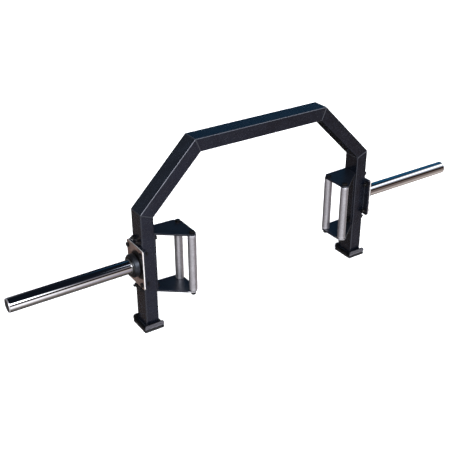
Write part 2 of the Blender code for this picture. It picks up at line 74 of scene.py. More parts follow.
# Facets round the round forms, and rows along them.
STEM_FACETS, ROWS_PER_THREAD = 24, 6.0
HEXAGON_FACETS, HEXAGON_ROWS = 48, 16
BEAD_FACETS, STEPS_PER_RIPPLE = 12, 4.0
WASHER_FACETS, BEND_STEPS, ROUND_STEPS = 40, 8, 5

# Sections of a shoe's lip, as shares of its corner, from the top down.
LIP_SHARES = (0.0, 0.1, 0.3, 0.6, 1.0)

# A hexagon's crown and washer face as shares of its width, and the slope of its chamfer.
CROWN, FACE, CHAMFER_SLOPE = 0.94, 0.96, 1.9

# The outer and the inner edge of a ground weld's groove, as shares of its reach.
GROOVE_OUTER, GROOVE_INNER = 1.4, 0.6

# How near to a grip's end its points are chamfered.
GRIP_END = 0.0001

# Middle of the collar's painted shadow on the sleeve plate: how far forward of the sleeves' axis it lies, and
# how far above.
COLLAR_SHADOW_CENTRE = (0.020, 0.0095)

# Where finishes and painted light and shade change, in metres. Of two numbers, a change begins at the first
# and ends at the second.
DULL_BAND, HIGHLIGHT_LINE = (0.0014, 0.0030), (0.0007, 0.0015)
NOSE_WEAR, NOSE_WEAR_HEIGHT = (0.019, 0.025), 0.03
COLLAR_SHADOW_EDGE, DUST_HEIGHT = (0.052, 0.060), 0.003
RING_EDGE, RIM_EDGE = (0.0002, 0.0008), 0.0006
LIP_DEPTH, LIP_SHADE = (0.018, 0.034), (0.012, 0.019)


def length_of(default, name, description):
    """A size that a user may change, in metres."""
    return FloatProperty(
        name=name, description=description, default=default, min=0.0, unit="LENGTH", precision=5
    )


def colour_of(default, name, description):
    return FloatVectorProperty(
        name=name, description=description, default=default, size=3, min=0.0, max=1.0, subtype="COLOR"
    )


def share_of(default, name, description):
    return FloatProperty(
        name=name, description=description, default=default, min=0.0, max=1.0, subtype="FACTOR"
    )


class TrapBarFinishes(bpy.types.PropertyGroup):
    """Colours and gloss of the finishes."""

    coat: colour_of((0.0014, 0.0020, 0.0040), "Powder coat", "Satin black coat of the tube frame and plates")
    coat_light: colour_of((0.0024, 0.0034, 0.0062), "Coat, light", "Lighter cloud in the powder coat")
    # Painted highlight: this grey stands in for light caught along the mitres and the beam's edges.
    coat_thin: colour_of((0.040, 0.043, 0.050), "Coat, thin", "Grey at the mitres and along the beam's edges")
    coat_roughness: share_of(0.23, "Coat roughness", "Roughness of the powder coat")
    steel: colour_of((0.40, 0.30, 0.262), "Bare steel", "Warm mill finish of the sleeve plates")
    # The pale cut edges also carry a painted highlight, and painted shade where they face up or down.
    steel_edge: colour_of((0.62, 0.60, 0.59), "Cut edge", "Pale sheared edges of the sleeve plates")
    steel_dark: colour_of((0.27, 0.185, 0.15), "Scale", "Mill scale left on the bare steel")
    # Painted shade: the collars' shadow on the sleeve plates, and the dark of their end faces.
    grease: colour_of((0.020, 0.019, 0.018), "Painted_shade", "Old grease round the collars")
    chrome: colour_of((0.80, 0.80, 0.81), "Chrome", "Hard chrome of the sleeves")
    collar: colour_of((0.084, 0.094, 0.112), "Collar steel", "Blue-grey turned steel of the collars")
    grip: colour_of((0.53, 0.525, 0.55), "Grip steel", "Satin plating of the grips")
    grip_dark: colour_of((0.24, 0.235, 0.245), "Knurl valleys", "Plating down in the knurl")
    shoe: colour_of((0.19, 0.19, 0.215), "Shoe zinc", "Grey zinc of the foot shoes")
    oxide: colour_of((0.005, 0.005, 0.006), "Black oxide", "Bolts and nuts")
    oxide_bloom: colour_of((0.016, 0.013, 0.011), "Brown bloom", "Where the oxide has begun to rust")
    bronze: colour_of((0.45, 0.30, 0.14), "Bronze", "Bushings and thrust washers")
    rubber: colour_of((0.004, 0.004, 0.004), "Rubber", "Foot pads")
    dust: colour_of((0.05, 0.048, 0.045), "Dust", "Floor dust at the foot of the pads")


class TrapBarGate(bpy.types.PropertyGroup):
    """The gate-shaped tube frame and its welds."""

    tube_corner: length_of(0.004, "Tube corner", "Outer corner radius of the rectangular tube")
    seam_reach: length_of(0.0030, "Seam reach", "From a mitre to the edge of its ground weld")
    seam_depth: length_of(0.0003, "Seam depth", "Undercut along each edge of a ground weld")
    bead_radius: length_of(0.0024, "Bead radius", "Radius of a fillet weld's bead")
    ripple_pitch: length_of(0.0021, "Ripple pitch", "Length of one ripple of a bead")
    ripple_depth: share_of(0.16, "Ripple depth", "Share of its radius that a bead loses at each ripple")


class TrapBarPlates(bpy.types.PropertyGroup):
    """Feet, flanges and handle brackets."""

    edge: length_of(0.0007, "Edge round", "Width of the broken edge of cut plates")
    shoe_sheet: length_of(0.006, "Shoe sheet", "Thickness of the folded shoe")
    shoe_bend: length_of(0.007, "Shoe bend", "Outer bend radius of the shoe")
    shoe_lip_corner: length_of(0.008, "Lip corner", "Corner radius of the shoe's lips")
    pad_corner: length_of(0.003, "Pad corner", "Corner radius of the rubber pad")
    flange_corner: length_of(0.007, "Flange corner", "Corner radius of the square flange plates")
    handle_corner: length_of(0.008, "Handle corner", "Corner radius of the handle plates")
    rear_shoulder: FloatVectorProperty(
        name="Rear shoulder", description="Corner behind the rear grip, from the grip's centre",
        default=(0.005, 0.024), size=2, unit="LENGTH",
    )
    front_shoulder: FloatVectorProperty(
        name="Front shoulder", description="Corner before the front grip, from the grip's centre",
        default=(0.003, 0.018), size=2, unit="LENGTH",
    )
    nose_lead: length_of(0.004, "Nose lead", "How far the plate's straight nose runs past each grip's centre")


class TrapBarGrips(bpy.types.PropertyGroup):
    """The knurled grips."""

    around: IntProperty(name="Around", description="Points round a grip, even", default=90, min=12)
    along: IntProperty(name="Along", description="Rows along a grip", default=200, min=12)
    knurl_depth: length_of(0.00030, "Knurl depth", "Depth of the diamond knurl")
    plain_end: length_of(0.009, "Plain end", "Smooth band at each end of a grip")
    end_chamfer: length_of(0.0008, "End chamfer", "Chamfer of a grip's ends")


class TrapBarFasteners(bpy.types.PropertyGroup):
    """The M10 bolts and their nuts."""

    head_height: length_of(0.0064, "Head height", "Height of a bolt's head")
    nut_height: length_of(0.008, "Nut height", "Height of a nut")
    lock_nut_height: length_of(0.013, "Lock nut height", "Height of the lock nuts under the handle brackets")
    across_flats: length_of(0.017, "Across flats", "Width of the hexagons")
    washer_face: length_of(0.0005, "Washer face", "Thickness of the round face under a hexagon")
    stem_radius: length_of(0.005, "Stem radius", "Radius of the threaded shank")
    stem_reach: length_of(0.007, "Stem reach", "Thread that stands out of a nut")
    thread_pitch: length_of(0.0015, "Thread pitch", "Pitch of the thread")
    thread_depth: length_of(0.0006, "Thread depth", "Depth of the thread")
    washer_radius: length_of(0.010, "Washer radius", "Radius of the washers on the handle plates")
    washer_thickness: length_of(0.002, "Washer thickness", "Thickness of those washers")


class TrapBarSleeves(bpy.types.PropertyGroup):
    """The turning sleeves with their collars and caps."""

    radius: length_of(0.025, "Sleeve radius", "Radius of the sleeve that plates slide on")
    bore: length_of(0.0175, "Sleeve bore", "Radius of the bore for the bushings")
    end_round: length_of(0.0012, "End round", "Rounding of the sleeve's outer end")
    ring_length: length_of(0.004, "Root ring", "Length of the ring at the sleeve's root")
    ring_chamfer: length_of(0.0005, "Ring chamfer", "Chamfer of the root ring")
    collar_chamfer: length_of(0.004, "Collar chamfer", "Chamfer of the collar's outer face")
    collar_back_chamfer: length_of(0.001, "Collar back", "Chamfer of the collar's inner face")
    cap_rim: length_of(0.0035, "Cap rim", "Width of the raised rim of an end cap")
    cap_dish: length_of(0.0006, "Cap dish", "Depth of the face inside the rim")
    cap_chamfer: length_of(0.001, "Cap chamfer", "Chamfer of an end cap's outer edge")
    segments: IntProperty(name="Segments", description="Facets round a turned piece", default=96, min=24)


class TrapBarStage(bpy.types.PropertyGroup):
    """Floor, light and camera."""

    floor_size: length_of(60.0, "Floor", "Side of the plain floor")
    floor_colour: colour_of((0.86, 0.86, 0.86), "Floor colour", "Colour of the plain floor")
    floor_glow: FloatProperty(
        name="Floor glow", description="Light from under the floor's translucent sheet", default=0.45, min=0.0
    )
    backdrop: colour_of((0.93, 0.93, 0.93), "Backdrop", "What the camera sees past the floor")
    key_strength: FloatProperty(
        name="Key light", description="Strength of the soft light overhead", default=2.4, min=0.0
    )
    key_angle: FloatProperty(
        name="Key angle", description="Angle that the soft light fills", default=math.radians(100),
        subtype="ANGLE",
    )
    key_turn: FloatVectorProperty(
        name="Key turn", description="How the soft light leans from straight overhead", size=3,
        subtype="EULER", default=(math.radians(18.0), math.radians(-8.0), 0.0),
    )
    lens: FloatProperty(name="Lens", description="Focal length on a 36 mm sensor, in mm", default=63.44)
    place: FloatVectorProperty(
        name="Camera place", description="Where the camera stands", size=3, unit="LENGTH",
        default=(-1.5160, -2.1129, 1.6763),
    )
    turn: FloatVectorProperty(
        name="Camera turn", description="Pitch, roll and yaw of a camera that looks along +Y", size=3,
        subtype="EULER", default=(-0.49354, 0.00733, -0.57072),
    )


def sign(operation, swapped=False):
    """A method that stands for one sign in a formula: it adds a Math node."""
    def added(self, *others):
        values = (self, *others)
        return self.tree.math(operation, *(reversed(values) if swapped else values))
    return added


class Value:
    """An output socket that can stand in a formula."""

    __add__ = sign("ADD")
    __sub__ = sign("SUBTRACT")
    __rsub__ = sign("SUBTRACT", swapped=True)
    __mul__ = sign("MULTIPLY")
    __truediv__ = sign("DIVIDE")
    __mod__ = sign("FLOORED_MODULO")
    __lt__ = sign("LESS_THAN")
    __gt__ = sign("GREATER_THAN")
    __abs__ = sign("ABSOLUTE")
    __round__ = sign("ROUND")

    def __init__(self, tree, socket):
        self.tree, self.socket = tree, socket


class Tree:
    """Short calls for building one tree of nodes."""

    def __init__(self, tree):
        self.tree = tree
        self.shader = tree.nodes.get("Principled BSDF")

    def node(self, kind, values=None, **settings):
        """A new node with its settings, and with values or links on its inputs."""
        node = self.tree.nodes.new(kind)
        for name, value in settings.items():
            setattr(node, name, value)
        for key, value in (values or {}).items():
            self.put(value, node.inputs[key])
        return node

    def out(self, kind, values=None, output=0, **settings):
        """One output of a new node."""
        return Value(self, self.node(kind, values, **settings).outputs[output])

    def put(self, value, socket):
        if isinstance(value, Value):
            self.tree.links.new(value.socket, socket)
        else:
            socket.default_value = value

    def paint(self, **inputs):
        """Sets or links inputs of the material's shader. Base_Color stands for Base Color."""
        for name, value in inputs.items():
            self.put(value, self.shader.inputs[name.replace("_", " ")])

    def painted(self, name):
        """What is linked to an input of the material's shader."""
        return Value(self, self.shader.inputs[name].links[0].from_socket)

    def math(self, operation, *values):
        return self.out("ShaderNodeMath", dict(enumerate(values)), operation=operation)

    def split(self, vector):
        outputs = self.node("ShaderNodeSeparateXYZ", {0: vector}).outputs
        return [Value(self, outputs[axis]) for axis in range(3)]

    def join(self, x, y, z):
        return self.out("ShaderNodeCombineXYZ", {0: x, 1: y, 2: z})

    def length(self, x, y, z):
        return self.out("ShaderNodeVectorMath", {0: self.join(x, y, z)}, "Value", operation="LENGTH")

    def step(self, value, low, high, start=0.0, end=1.0):
        """start below low, end above high, and a smooth rise between them."""
        values = {"Value": value, "From Min": low, "From Max": high, "To Min": start, "To Max": end}
        return self.out("ShaderNodeMapRange", values, interpolation_type="SMOOTHSTEP")

    def span(self, value, rise, top, end, fall):
        """0 outside rise and fall, 1 between top and end."""
        return self.step(value, rise, top) * self.step(value, end, fall, 1.0, 0.0)

    def mix(self, share, first, second):
        values = {0: share, 6: self.colour(first), 7: self.colour(second)}
        return self.out("ShaderNodeMix", values, 2, data_type="RGBA")

    def colour(self, value):
        return value if isinstance(value, Value) else (*value[:3], 1.0)

    def noise(self, place, scale, detail=2.0, roughness=0.5):
        values = {"Vector": place, "Scale": scale, "Detail": detail, "Roughness": roughness}
        return self.out("ShaderNodeTexNoise", values)

    def patches(self, place, scale, detail, low, high, start=0.0, end=1.0, roughness=0.5):
        """Noise cut into patches: start where it is below low, end where it is above high."""
        return self.step(self.noise(place, scale, detail, roughness), low, high, start, end)

    def bump(self, height, distance, strength, **normal):
        values = {"Height": height, "Distance": distance, "Strength": strength, **normal}
        return self.out("ShaderNodeBump", values)

    def leaning(self, axis):
        """How much a face looks along +X, +Y or +Z (0, 1, 2): from -1 to 1."""
        return self.split(self.out("ShaderNodeTexCoord", output="Normal"))[axis]

    def facing(self, axis):
        """The same, either way: from 0 to 1."""
        return abs(self.leaning(axis))

    def from_axis(self, place, forward=0.0, raised=0.0):
        """Distance from the sleeves' axis, or from a line beside it."""
        _, y, z = self.split(place)
        return self.length(0.0, y - (AXIS.y - forward), z - (AXIS.z + raised))

    def stretched(self, place, scale):
        """Coordinates scaled by a different factor along each axis."""
        return self.out("ShaderNodeMapping", {"Vector": place, "Scale": scale})

    def cylinder(self, around, rows, radius, depth):
        """The mesh of a closed cylinder along Z, centred."""
        values = {
            "Vertices": around, "Side Segments": rows, "Fill Segments": 1, "Radius": radius, "Depth": depth,
        }
        return self.out("GeometryNodeMeshCylinder", values, "Mesh", fill_type="NGON")

    def position(self):
        return self.out("GeometryNodeInputPosition")

    def moved(self, geometry, x, y, z):
        values = {"Geometry": geometry, "Position": self.join(x, y, z)}
        return self.out("GeometryNodeSetPosition", values)


def scaled(colour, factor):
    return [channel * factor for channel in colour]


def black_powder_coat(tree, place, finishes):
    """Satin black powder: an orange-peel skin, faint clouds and a few dust nibs."""
    cloud = tree.patches(place, 22.0, 3.0, 0.35, 0.65)
    rough = finishes.coat_roughness
    peel = tree.bump(tree.noise(place, 850.0, 1.0), 0.00012, 0.5)
    nibs = tree.patches(place, 1900.0, 0.0, 0.74, 0.80)
    tree.paint(
        Base_Color=tree.mix(cloud, finishes.coat, finishes.coat_light),
        Roughness=tree.patches(place, 90.0, 4.0, 0.3, 0.7, rough - 0.05, rough + 0.06),
        Normal=tree.bump(nibs, 0.0001, 0.35, Normal=peel),
        Specular_IOR_Level=0.64, Specular_Tint=(0.86, 0.88, 1.0, 1.0),
    )


def weld_coat(tree, place, finishes):
    """The same coat, thicker and duller, over weld beads."""
    black_powder_coat(tree, place, finishes)
    tree.paint(Roughness=tree.patches(place, 420.0, 2.0, 0.3, 0.7, 0.30, 0.44))


def gate_coat(tree, place, finishes):
    """The coat on the gate, duller along its ground mitres, with a painted highlight in grey there and along
    the beam's edges.
    """
    black_powder_coat(tree, place, finishes)
    x, _, z = tree.split(place)
    shoulder = Vector((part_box("right_diagonal")[1].x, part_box("right_upright")[1].z))
    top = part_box("top_beam")[1].xz
    up, slope, level = Vector((0.0, 1.0)), (top - shoulder).normalized(), Vector((-1.0, 0.0))
    # Painted highlight: lighter grey coat along the beam's edges between its front or back and its top or
    # bottom.
    edge = tree.span(tree.facing(2), 0.28, 0.52, 0.78, 1.02) * tree.step(tree.facing(0), 0.1, 0.3, 1.0, 0.0)
    coat = tree.mix(edge, tree.painted("Base Color"), finishes.coat_thin)
    rough = tree.painted("Roughness")
    clearer_right = tree.step(x, -0.1, 0.1, 0.35, 1.0)
    for corner, before, after in ((shoulder, up, slope), (top, slope, level)):
        across = (before + after).normalized()
        off = abs(abs(x) * across.x + z * across.y - corner.dot(across))
        rough = rough + tree.step(off, *DULL_BAND, 0.30, 0.0)
        # A painted highlight along each mitre, fainter to the left.
        line = tree.step(off, *HIGHLIGHT_LINE, 1.0, 0.0) * clearer_right
        coat = tree.mix(line, coat, finishes.coat_thin)
    tree.paint(Base_Color=coat, Roughness=rough)


def plate_coat(tree, place, finishes):
    """The same coat, duller, on the handle plates, and worn to the steel on the lower noses' rims."""
    black_powder_coat(tree, place, finishes)
    x, y, z = tree.split(place)
    grip = middle("right_front_grip")
    nose = tree.step(tree.length(abs(x) - grip.x, y - grip.y, 0.0), *NOSE_WEAR, 1.0, 0.0)
    rim = nose * tree.step(tree.facing(2), 0.3, 0.7, 1.0, 0.0)
    low = tree.step(z, grip.z - NOSE_WEAR_HEIGHT, grip.z, 1.0, 0.0)
    worn = rim * low * tree.patches(place, 260.0, 3.0, 0.30, 0.50)
    tree.paint(
        Base_Color=tree.mix(worn, tree.painted("Base Color"), scaled(finishes.grip, 0.9)), Metallic=worn,
        Roughness=tree.patches(place, 90.0, 4.0, 0.3, 0.7, 0.34, 0.44),
    )


def bare_steel(tree, place, finishes):
    """Ground flat bar: upright grinding lines and scale, pale cut edges with painted highlight and shade, and
    a painted shadow of the collar.
    """
    grain = tree.noise(tree.stretched(place, (900.0, 900.0, 35.0)), 1.0, 3.0, 0.6)
    light = tree.mix(tree.step(grain, 0.25, 0.75), finishes.steel, scaled(finishes.steel, 1.25))
    scale = tree.patches(place, 38.0, 5.0, 0.44, 0.66, roughness=0.65)
    face = tree.mix(scale, light, finishes.steel_dark)
    # Painted shadow of the collar: a dark disc round a point forward of and above the axis, with a noisy rim.
    reach = tree.from_axis(place, *COLLAR_SHADOW_CENTRE) + tree.noise(place, 60.0, 3.0) * 0.006
    face = tree.mix(tree.step(reach, *COLLAR_SHADOW_EDGE, 1.0, 0.0), face, finishes.grease)
    # Pale cut edges, the bare steel's own colour plus a painted highlight; those that face up or down are
    # painted darker, as shade.
    edge = tree.step(tree.facing(0), 0.3, 0.8, 1.0, 0.0)
    cut = tree.mix(tree.step(tree.facing(2), 0.3, 0.8), finishes.steel_edge, scaled(finishes.steel_edge, 0.5))
    tree.paint(
        Base_Color=tree.mix(edge, face, cut), Metallic=tree.step(edge, 0.0, 1.0, 0.9, 0.35),
        Roughness=tree.step(grain, 0.2, 0.8, 0.34, 0.52), Normal=tree.bump(grain, 0.00006, 0.5),
    )


def chrome(tree, place, finishes):
    """Hard chrome over a turned tube: turning marks, rub marks from loaded plates, and a dull root ring."""
    turning = tree.noise(tree.stretched(place, (2600.0, 18.0, 18.0)), 1.0, 2.0, 0.7)
    rubs = tree.patches(tree.stretched(place, (60.0, 14.0, 14.0)), 1.0, 5.0, 0.48, 0.72, roughness=0.7)
    plating = tree.mix(rubs, finishes.chrome, scaled(finishes.chrome, 0.93))
    radius = bpy.context.scene.trap_bar_sleeves.radius
    ring = tree.step(tree.from_axis(place), *(radius + edge for edge in RING_EDGE))
    tree.paint(
        Base_Color=tree.mix(ring, plating, scaled(finishes.chrome, 0.25)), Metallic=1.0,
        Roughness=tree.step(rubs, 0.0, 1.0, 0.022, 0.045) + ring * 0.42,
        Normal=tree.bump(turning, 0.000004, 0.4),
    )


def collar_grey(tree, place, finishes):
    """Blue-grey turned steel with visible tool marks, and painted shade on its end faces."""
    marks = tree.noise(tree.join(tree.split(place)[0], tree.from_axis(place), 0.0), 1500.0)
    stain = tree.patches(place, 45.0, 4.0, 0.40, 0.70, roughness=0.6)
    side = tree.mix(stain, finishes.collar, scaled(finishes.collar, 0.62))
    # Painted shade: the end faces are a darker copy of the steel, mixed with the painted collar shade colour.
    end = tree.mix(stain, scaled(finishes.collar, 0.3), finishes.grease)
    tree.paint(
        Base_Color=tree.mix(tree.step(tree.facing(0), 0.55, 0.8), side, end), Metallic=0.95,
        Roughness=tree.step(marks, 0.2, 0.8, 0.30, 0.44), Normal=tree.bump(marks, 0.00002, 0.5),
    )


def cap_steel(tree, place, finishes):
    """The end caps: the collars' steel inside a bright, plated rim."""
    collar_grey(tree, place, finishes)
    settings = bpy.context.scene.trap_bar_sleeves
    rim = settings.radius - settings.cap_rim
    bright = tree.step(tree.from_axis(place), rim - RIM_EDGE, rim)
    dull = tree.mix(tree.noise(place, 220.0, 3.0), scaled(finishes.collar, 0.3), finishes.collar)
    tree.paint(Base_Color=tree.mix(bright, dull, finishes.chrome))


def grip_steel(tree, place, finishes):
    """Satin plating, dark in the knurl's valleys, mottled, and rubbed bright by hands in patches."""
    valley = tree.out("ShaderNodeAttribute", output="Fac", attribute_name="knurl")
    light = tree.mix(tree.patches(place, 26.0, 3.0, 0.35, 0.70), finishes.grip, scaled(finishes.grip, 1.14))
    mottle = tree.patches(tree.stretched(place, (230.0, 230.0, 120.0)), 1.0, 3.0, 0.42, 0.68, roughness=0.65)
    fine = tree.noise(tree.stretched(place, (300.0, 300.0, 1500.0)), 1.0)
    tree.paint(
        Base_Color=tree.mix(valley * 0.5 + mottle * 0.32, light, finishes.grip_dark), Metallic=1.0,
        Roughness=tree.step(fine, 0.2, 0.8, 0.40, 0.52), Normal=tree.bump(fine, 0.00002, 0.4),
    )


def shoe_grey(tree, place, finishes):
    """A folded shoe: dull, scuffed zinc outside its lips, painted lighter low and darker high on them, black
    with a few specks elsewhere.
    """
    scuff = tree.patches(tree.stretched(place, (90.0, 200.0, 420.0)), 1.0, 4.0, 0.42, 0.62, roughness=0.7)
    lip = tree.mix(scuff, scaled(finishes.shoe, 1.15), scaled(finishes.shoe, 0.45))
    _, y, z = tree.split(place)
    # Painted light and shade: the lips' zinc is lighter towards their foot and darker towards their top.
    lip_light_by_height = {0: lip, "Scale": tree.step(z, *LIP_SHADE, 1.25, 0.62)}
    lip = tree.out("ShaderNodeVectorMath", lip_light_by_height, operation="SCALE")
    outward = (y - AXIS.y) * tree.leaning(1)
    specks = tree.patches(place, 330.0, 2.0, 0.58, 0.72)
    dark = tree.mix(specks, scaled(finishes.shoe, 0.02), scaled(finishes.shoe, 0.45))
    tree.paint(
        Base_Color=tree.mix(tree.step(outward, *LIP_DEPTH), dark, lip), Metallic=0.75,
        Roughness=tree.patches(place, 240.0, 3.0, 0.3, 0.7, 0.38, 0.56),
        Normal=tree.bump(tree.noise(place, 700.0), 0.00005, 0.4),
    )


def black_oxide(tree, place, finishes):
    """Oiled black oxide with faint brown bloom."""
    bloom = tree.patches(place, 160.0, 3.0, 0.45, 0.75)
    tree.paint(
        Base_Color=tree.mix(bloom, finishes.oxide, finishes.oxide_bloom), Metallic=0.6,
        Roughness=tree.patches(place, 600.0, 2.0, 0.3, 0.7, 0.22, 0.38),
        Normal=tree.bump(tree.noise(place, 1400.0, 1.0), 0.00003, 0.4),
    )


def bronze(tree, place, finishes):
    """Oil-soaked sintered bronze."""
    pores = tree.noise(place, 1800.0, 1.0)
    stain = tree.patches(place, 70.0, 3.0, 0.4, 0.7)
    tree.paint(
        Base_Color=tree.mix(stain, finishes.bronze, scaled(finishes.bronze, 0.6)), Metallic=1.0,
        Roughness=tree.step(pores, 0.3, 0.7, 0.32, 0.5), Normal=tree.bump(pores, 0.00003, 0.5),
    )


def rubber(tree, place, finishes):
    """Moulded rubber with a fine grain and floor dust at its foot."""
    dusty = tree.step(tree.split(place)[2], 0.0, DUST_HEIGHT, 0.3, 0.0) * tree.noise(place, 300.0, 3.0)
    tree.paint(
        Base_Color=tree.mix(dusty, finishes.rubber, finishes.dust),
        Roughness=tree.patches(place, 500.0, 3.0, 0.3, 0.7, 0.62, 0.85),
        Normal=tree.bump(tree.noise(place, 1200.0), 0.00008, 0.6),
    )


FINISHES = {made.__name__: made for made in (
    black_powder_coat, gate_coat, weld_coat, plate_coat, bare_steel, chrome, collar_grey, cap_steel,
    grip_steel, shoe_grey, black_oxide, bronze, rubber,
)}


def finish(name):
    """The named finish, built on its first use. Its own name differs from every packed material's."""
    title = "finish_" + name
    if title not in bpy.data.materials:
        material = bpy.data.materials.new(title)
        material.use_nodes = True
        tree = Tree(material.node_tree)
        place = tree.out("ShaderNodeTexCoord", output="Object")
        FINISHES[name](tree, place, bpy.context.scene.trap_bar_finishes)
    return bpy.data.materials[title]


def linked(name, mesh):
    obj = bpy.data.objects.new(name, mesh)
    bpy.context.scene.collection.objects.link(obj)
    return obj


def applied(obj):
    """The mesh that an object's modifiers make. The object is removed."""
    bpy.context.view_layer.update()
    graph = bpy.context.evaluated_depsgraph_get()
    mesh = bpy.data.meshes.new_from_object(obj.evaluated_get(graph))
    bpy.data.objects.remove(obj)
    return mesh


def shaded(mesh, edge=0.0):
    """The mesh with broken edges, flat faces that shade flat and round ones that shade round."""
    obj = linked("work", mesh)
    if edge:
        bevel = obj.modifiers.new("edges", "BEVEL")
        bevel.width = edge
        bevel.segments = BEVEL_SEGMENTS
        bevel.limit_method = "ANGLE"
        bevel.angle_limit = BEVEL_ANGLE
    mesh = applied(obj)
    mesh.shade_smooth()
    mesh.set_sharp_from_angle(angle=SHARP_ANGLE)
    obj = linked("work", mesh)
    normals = obj.modifiers.new("normals", "WEIGHTED_NORMAL")
    normals.keep_sharp = True
    return applied(obj)


def piece(name, mesh, finish_name, nodes=(), body="frame"):
    """A finished piece that rides on a body and stands for the named nodes."""
    mesh.materials.clear()
    mesh.materials.append(finish(finish_name))
    mesh.name = name
    obj = linked(name, mesh)
    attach(obj, body)
    if nodes:
        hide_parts(*nodes)


def plate(name, mesh, finish_name, node):
    """A finished piece of the frame with broken edges, in place of one node."""
    piece(name, shaded(mesh, bpy.context.scene.trap_bar_plates.edge), finish_name, [node])


def meshed(shape):
    """A mesh from a bmesh whose doubles are merged and whose faces point out."""
    bmesh.ops.remove_doubles(shape, verts=shape.verts, dist=MERGE)
    bmesh.ops.recalc_face_normals(shape, faces=shape.faces)
    mesh = bpy.data.meshes.new("piece")
    shape.to_mesh(mesh)
    shape.free()
    return mesh


def lofted(rings):
    """A closed skin through rings of equally many points."""
    shape = bmesh.new()
    rows = [[shape.verts.new(point) for point in ring] for ring in rings]
    for row, after in zip(rows, rows[1:]):
        for i in range(len(row)):
            j = (i + 1) % len(row)
            shape.faces.new((row[i], row[j], after[j], after[i]))
    shape.faces.new(rows[0])
    shape.faces.new(rows[-1])
    return meshed(shape)


def slab(outline, low, high, matrix=Matrix.Identity(4)):
    """A flat plate: an outline in XY raised from low to high, then placed by a matrix."""
    return lofted([[matrix @ Vector((*point, z)) for point in outline] for z in (low, high)])


def rounded(corners, steps=8):
    """The outline through (x, y, radius) corners, each turned by an arc of its own radius."""
    points = []
    for i, (x, y, radius) in enumerate(corners):
        here = Vector((x, y))
        if radius <= 0:
            points.append(here)
            continue
        to_last = (Vector(corners[i - 1][:2]) - here).normalized()
        to_next = (Vector(corners[(i + 1) % len(corners)][:2]) - here).normalized()
        half = to_last.angle(to_next) / 2
        centre = here + (to_last + to_next).normalized() * radius / math.sin(half)
        spoke = here + to_last * radius / math.tan(half) - centre
        way = -1 if to_last.cross(to_next) > 0 else 1
        for k in range(steps + 1):
            points.append(centre + Matrix.Rotation(way * (math.pi - 2 * half) * k / steps, 2) @ spoke)
    return points


def rectangle(low, high, radius, steps=8):
    (x0, y0), (x1, y1) = low, high
    return rounded([(x, y, radius) for x, y in ((x0, y0), (x1, y0), (x1, y1), (x0, y1))], steps)


def grown(mesh, build, values):
    """The plain mesh that a geometry tree, built on its first use, makes from a mesh and named values."""
    nodes = bpy.data.node_groups.get(build.__name__) or group(build, values)
    obj = linked("work", mesh)
    modifier = obj.modifiers.new("grow", "NODES")
    modifier.node_group = nodes
    for socket in nodes.interface.items_tree:
        if socket.in_out == "INPUT" and socket.name in values:
            modifier[socket.identifier] = values[socket.name]
    return applied(obj)


def group(build, values):
    """A geometry tree with one named input for each value. It ends in the geometry that build returns."""
    nodes = bpy.data.node_groups.new(build.__name__, "GeometryNodeTree")
    nodes.is_modifier = True
    nodes.interface.new_socket("Geometry", in_out="INPUT", socket_type="NodeSocketGeometry")
    nodes.interface.new_socket("Geometry", in_out="OUTPUT", socket_type="NodeSocketGeometry")
    kinds = {bool: "Bool", int: "Int", float: "Float", bpy.types.Material: "Material"}
    for label, value in values.items():
        kind = "NodeSocket" + kinds[type(value)]
        nodes.interface.new_socket(label, in_out="INPUT", socket_type=kind).default_value = value
    tree = Tree(nodes)
    inputs = tree.node("NodeGroupInput").outputs
    given = {socket.name: Value(tree, socket) for socket in inputs if socket.name}
    real = tree.out("GeometryNodeRealizeInstances", {0: build(tree, given)})
    painted = tree.out("GeometryNodeSetMaterial", {"Geometry": real, "Material": given["Material"]})
    tree.node("NodeGroupOutput", {0: painted})
    return nodes


def points_mesh(places, ways=()):
    """Loose points, each with the direction that its copy stands along."""
    mesh = bpy.data.meshes.new("points")
    mesh.from_pydata([tuple(place) for place in places], [], [])
    if ways:
        attribute = mesh.attributes.new("way", "FLOAT_VECTOR", "POINT")
        for value, way in zip(attribute.data, ways):
            value.vector = way
    return mesh


def lines_mesh(lines):
    """Loose lines through lists of points."""
    mesh = bpy.data.meshes.new("lines")
    points, edges = [], []
    for line in lines:
        edges += [(len(points) + i, len(points) + i + 1) for i in range(len(line) - 1)]
        points += [tuple(point) for point in line]
    mesh.from_pydata(points, edges, [])
    return mesh


def turned_piece(tree, given):
    """Turns a chain of (radius, 0, height) points round Z."""
    count = tree.out("GeometryNodeAttributeDomainSize", {0: given["Geometry"]}, "Point Count")
    sizes = {"Size X": 1.0, "Size Y": 1.0, "Vertices X": given["Segments"] + 1, "Vertices Y": count}
    grid = tree.out("GeometryNodeMeshGrid", sizes, "Mesh")
    place = tree.position()
    x, y, _ = tree.split(place)
    turn, row = (x + 0.5) * FULL_TURN, round((y + 0.5) * (count - 1))
    chain = {"Geometry": given["Geometry"], "Value": place, "Index": row}
    point = tree.out("GeometryNodeSampleIndex", chain, "Value", data_type="FLOAT_VECTOR", domain="POINT")
    radius, _, height = tree.split(point)
    turned = tree.moved(grid, radius * tree.math("COSINE", turn), radius * tree.math("SINE", turn), height)
    return tree.out("GeometryNodeMergeByDistance", {"Geometry": turned, "Distance": MERGE})


def turned(profile, matrix, segments, finish_name):
    """A solid turned round local Z from (radius, height) points, placed by a matrix."""
    mesh = lines_mesh([[(radius, 0.0, height) for radius, height in profile]])
    mesh = grown(mesh, turned_piece, {"Segments": segments, "Material": finish(finish_name)})
    shape = bmesh.new()
    shape.from_mesh(mesh)
    shape.transform(matrix)
    return shaded(meshed(shape))


